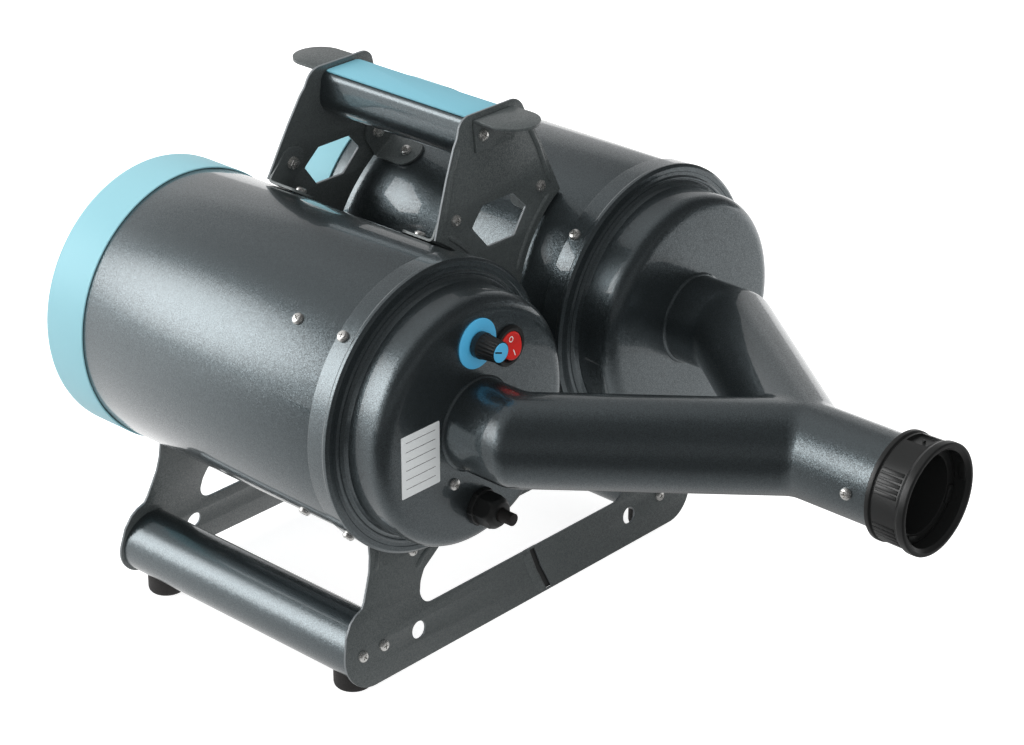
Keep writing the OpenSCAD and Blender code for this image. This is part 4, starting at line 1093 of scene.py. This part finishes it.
class DryerSizes(bpy.types.PropertyGroup):
    """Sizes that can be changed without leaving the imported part's frame."""
    wall: length("Shell wall", "Wall of a drum shell", 1.2)
    cover_steps: count("Cover steps", "Steps in each rounding of a front cover", 8, 1)
    pitch: length("Grille pitch", "Distance of the rings in the rear grille", 7.0, 3.5)
    seam: length("Pipe seam", "Rounding of the seams of the forked pipe", 3.5)
    pipe_steps: count("Pipe steps", "Steps round the forked pipe", 96, 12)
    ribs: count("Coupling ribs", "Grip ribs in each group", 5, 2)
    bead: length("Bead", "Height of the pressed beads", 0.85)
    tube_wall: length("Tube wall", "Wall of the base tubes", 1.5)
    ear: length("Ear half width", "Half the width of an ear plate", 14.4)
    flutes: count("Knob flutes", "Flutes round the speed knob", 18, 3)
    rocker_steps: count("Rocker steps", "Steps across the rocker", 14, 4)
    label: length("Label", "Thickness of the rating label", 0.3)
    gland: length("Gland radius", "Radius of the cable gland", 9.5)
    screw: length("Screw head radius", "Radius of a pan head", 3.1)
    flake: length("Flake size", "Size of a flake in the metallic paint", 0.34)
    flake_tilt: FloatProperty(name="Flake tilt", description="How far the flakes tilt", default=0.2, min=0.0)
    light: FloatProperty(name="Light", description="Factor on all lamps", default=1.0, min=0.0)


class DryerTints(bpy.types.PropertyGroup):
    """Colours of what is seen."""
    body: tint("Body paint", "#626b6f")
    body_dark: tint("Darkest body flakes", "#575f62")
    body_light: tint("Palest body flakes", "#6c767a")
    frame: tint("Frame coat", "#565b5c")
    frame_dark: tint("Darkest frame flakes", "#4d5354")
    frame_light: tint("Palest frame flakes", "#616767")
    # paler than the frame coat: a painted highlight on the sheets' cut edges
    edge: tint("Sheet edges", "#82878a")
    cap: tint("Rear caps", "#9ed5e1")
    plate: tint("Name plate", "#84c4d6")
    dial: tint("Dial and knob cap", "#58bcec")
    rocker: tint("Rocker", "#d8302c")
    nylon: tint("Black plastic", "#1b1c1c")
    rubber: tint("Rubber", "#201e1d")
    label: tint("Rating label", "#e6eaeb")
    screw: tint("Screws", "#f0efec")
    white: tint("White ink", "#f2f0ee")
    black: tint("Black ink", "#101112")


class DRYER_OT_finishes(bpy.types.Operator):
    """Makes the materials of the dryer"""
    bl_idname = "dryer.finishes"
    bl_label = "Finishes"

    def execute(self, context):
        sizes = context.scene.dryer
        make_finishes(sizes.flake, sizes.flake_tilt, context.scene.dryer_tints)
        return {"FINISHED"}


class DRYER_OT_inside(bpy.types.Operator):
    """Gives the hidden parts their finish"""
    bl_idname = "dryer.inside"
    bl_label = "Machinery"

    def execute(self, context):
        finish_inside()
        return {"FINISHED"}


class DRYER_OT_shells(bpy.types.Operator):
    """Builds both drum shells"""
    bl_idname = "dryer.shells"
    bl_label = "Drum shells"

    def execute(self, context):
        build_shells(context.scene.dryer.wall * MM)
        return {"FINISHED"}


class DRYER_OT_covers(bpy.types.Operator):
    """Builds both stepped front covers"""
    bl_idname = "dryer.covers"
    bl_label = "Front covers"

    def execute(self, context):
        build_covers(context.scene.dryer.cover_steps)
        return {"FINISHED"}


class DRYER_OT_caps(bpy.types.Operator):
    """Builds both rear caps with their grille"""
    bl_idname = "dryer.caps"
    bl_label = "Rear caps"

    def execute(self, context):
        build_caps(context.scene.dryer.pitch * MM)
        return {"FINISHED"}


class DRYER_OT_pipe(bpy.types.Operator):
    """Builds the forked air pipe"""
    bl_idname = "dryer.pipe"
    bl_label = "Air pipe"

    def execute(self, context):
        sizes = context.scene.dryer
        build_pipe(sizes.pipe_steps, sizes.seam * MM)
        return {"FINISHED"}


class DRYER_OT_coupling(bpy.types.Operator):
    """Builds the hose coupling with its ribs and inner ring"""
    bl_idname = "dryer.coupling"
    bl_label = "Hose coupling"

    def execute(self, context):
        build_coupling(context.scene.dryer.ribs)
        return {"FINISHED"}


class DRYER_OT_plates(bpy.types.Operator):
    """Builds both end plates with brackets, tabs and beads"""
    bl_idname = "dryer.plates"
    bl_label = "End plates"

    def execute(self, context):
        build_plates(context.scene.dryer.bead * MM)
        return {"FINISHED"}


class DRYER_OT_rails(bpy.types.Operator):
    """Builds the base tubes, feet, grip bar and name plate"""
    bl_idname = "dryer.rails"
    bl_label = "Tubes, feet and grip"

    def execute(self, context):
        build_tubes(context.scene.dryer.tube_wall * MM)
        build_feet()
        build_grip()
        return {"FINISHED"}


class DRYER_OT_ears(bpy.types.Operator):
    """Builds both bent ear plates"""
    bl_idname = "dryer.ears"
    bl_label = "Ears"

    def execute(self, context):
        build_ears(context.scene.dryer.ear * MM)
        return {"FINISHED"}


class DRYER_OT_knob(bpy.types.Operator):
    """Builds the dial, the fluted knob and its cap"""
    bl_idname = "dryer.knob"
    bl_label = "Speed knob"

    def execute(self, context):
        build_knob(context.scene.dryer.flutes)
        return {"FINISHED"}


class DRYER_OT_switch(bpy.types.Operator):
    """Builds the switch housing and its rocker"""
    bl_idname = "dryer.switch"
    bl_label = "Rocker switch"

    def execute(self, context):
        build_switch(context.scene.dryer.rocker_steps)
        return {"FINISHED"}


class DRYER_OT_label(bpy.types.Operator):
    """Builds the bare rating label"""
    bl_idname = "dryer.label"
    bl_label = "Rating label"

    def execute(self, context):
        build_label(context.scene.dryer.label * MM)
        return {"FINISHED"}


class DRYER_OT_gland(bpy.types.Operator):
    """Builds the gland, its nut and the cable end"""
    bl_idname = "dryer.gland"
    bl_label = "Cable gland"

    def execute(self, context):
        build_gland(context.scene.dryer.gland * MM)
        return {"FINISHED"}


class DRYER_OT_screws(bpy.types.Operator):
    """Builds all screws with their cross recess"""
    bl_idname = "dryer.screws"
    bl_label = "Screws"

    def execute(self, context):
        build_screws(context.scene.dryer.screw * MM)
        return {"FINISHED"}


class DRYER_OT_stage(bpy.types.Operator):
    """Builds the floor, lamps, world and camera"""
    bl_idname = "dryer.stage"
    bl_label = "Stage"

    def execute(self, context):
        build_stage(context.scene.dryer.light)
        return {"FINISHED"}


STEPS = (DRYER_OT_finishes, DRYER_OT_inside, DRYER_OT_shells, DRYER_OT_covers, DRYER_OT_caps, DRYER_OT_pipe,
         DRYER_OT_coupling, DRYER_OT_plates, DRYER_OT_rails, DRYER_OT_ears, DRYER_OT_knob, DRYER_OT_switch,
         DRYER_OT_label, DRYER_OT_gland, DRYER_OT_screws, DRYER_OT_stage)


class DRYER_PT_panel(bpy.types.Panel):
    """Lists the steps that build the dryer, with its sizes and colours"""
    bl_label = "Pet dryer"
    bl_idname = "DRYER_PT_panel"
    bl_space_type = "VIEW_3D"
    bl_region_type = "UI"
    bl_category = "Dryer"

    def draw(self, context):
        for group in (context.scene.dryer, context.scene.dryer_tints):
            for key in group.__annotations__:
                self.layout.prop(group, key)
        for step in STEPS:
            self.layout.operator(step.bl_idname)


CLASSES = (DryerSizes, DryerTints, *STEPS, DRYER_PT_panel)


def register():
    """Registers the classes and gives the scene its settings."""
    for c in CLASSES:
        bpy.utils.register_class(c)
    bpy.types.Scene.dryer = PointerProperty(type=DryerSizes)
    bpy.types.Scene.dryer_tints = PointerProperty(type=DryerTints)


def unregister():
    """Takes the settings and the classes away again."""
    del bpy.types.Scene.dryer_tints
    del bpy.types.Scene.dryer
    for c in reversed(CLASSES):
        bpy.utils.unregister_class(c)


def main():
    """Runs every step in order."""
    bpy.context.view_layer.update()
    register()
    for step in STEPS:
        getattr(bpy.ops.dryer, step.bl_idname.split(".")[1])()
    bpy.context.view_layer.update()


if __name__ == "__main__":
    main()
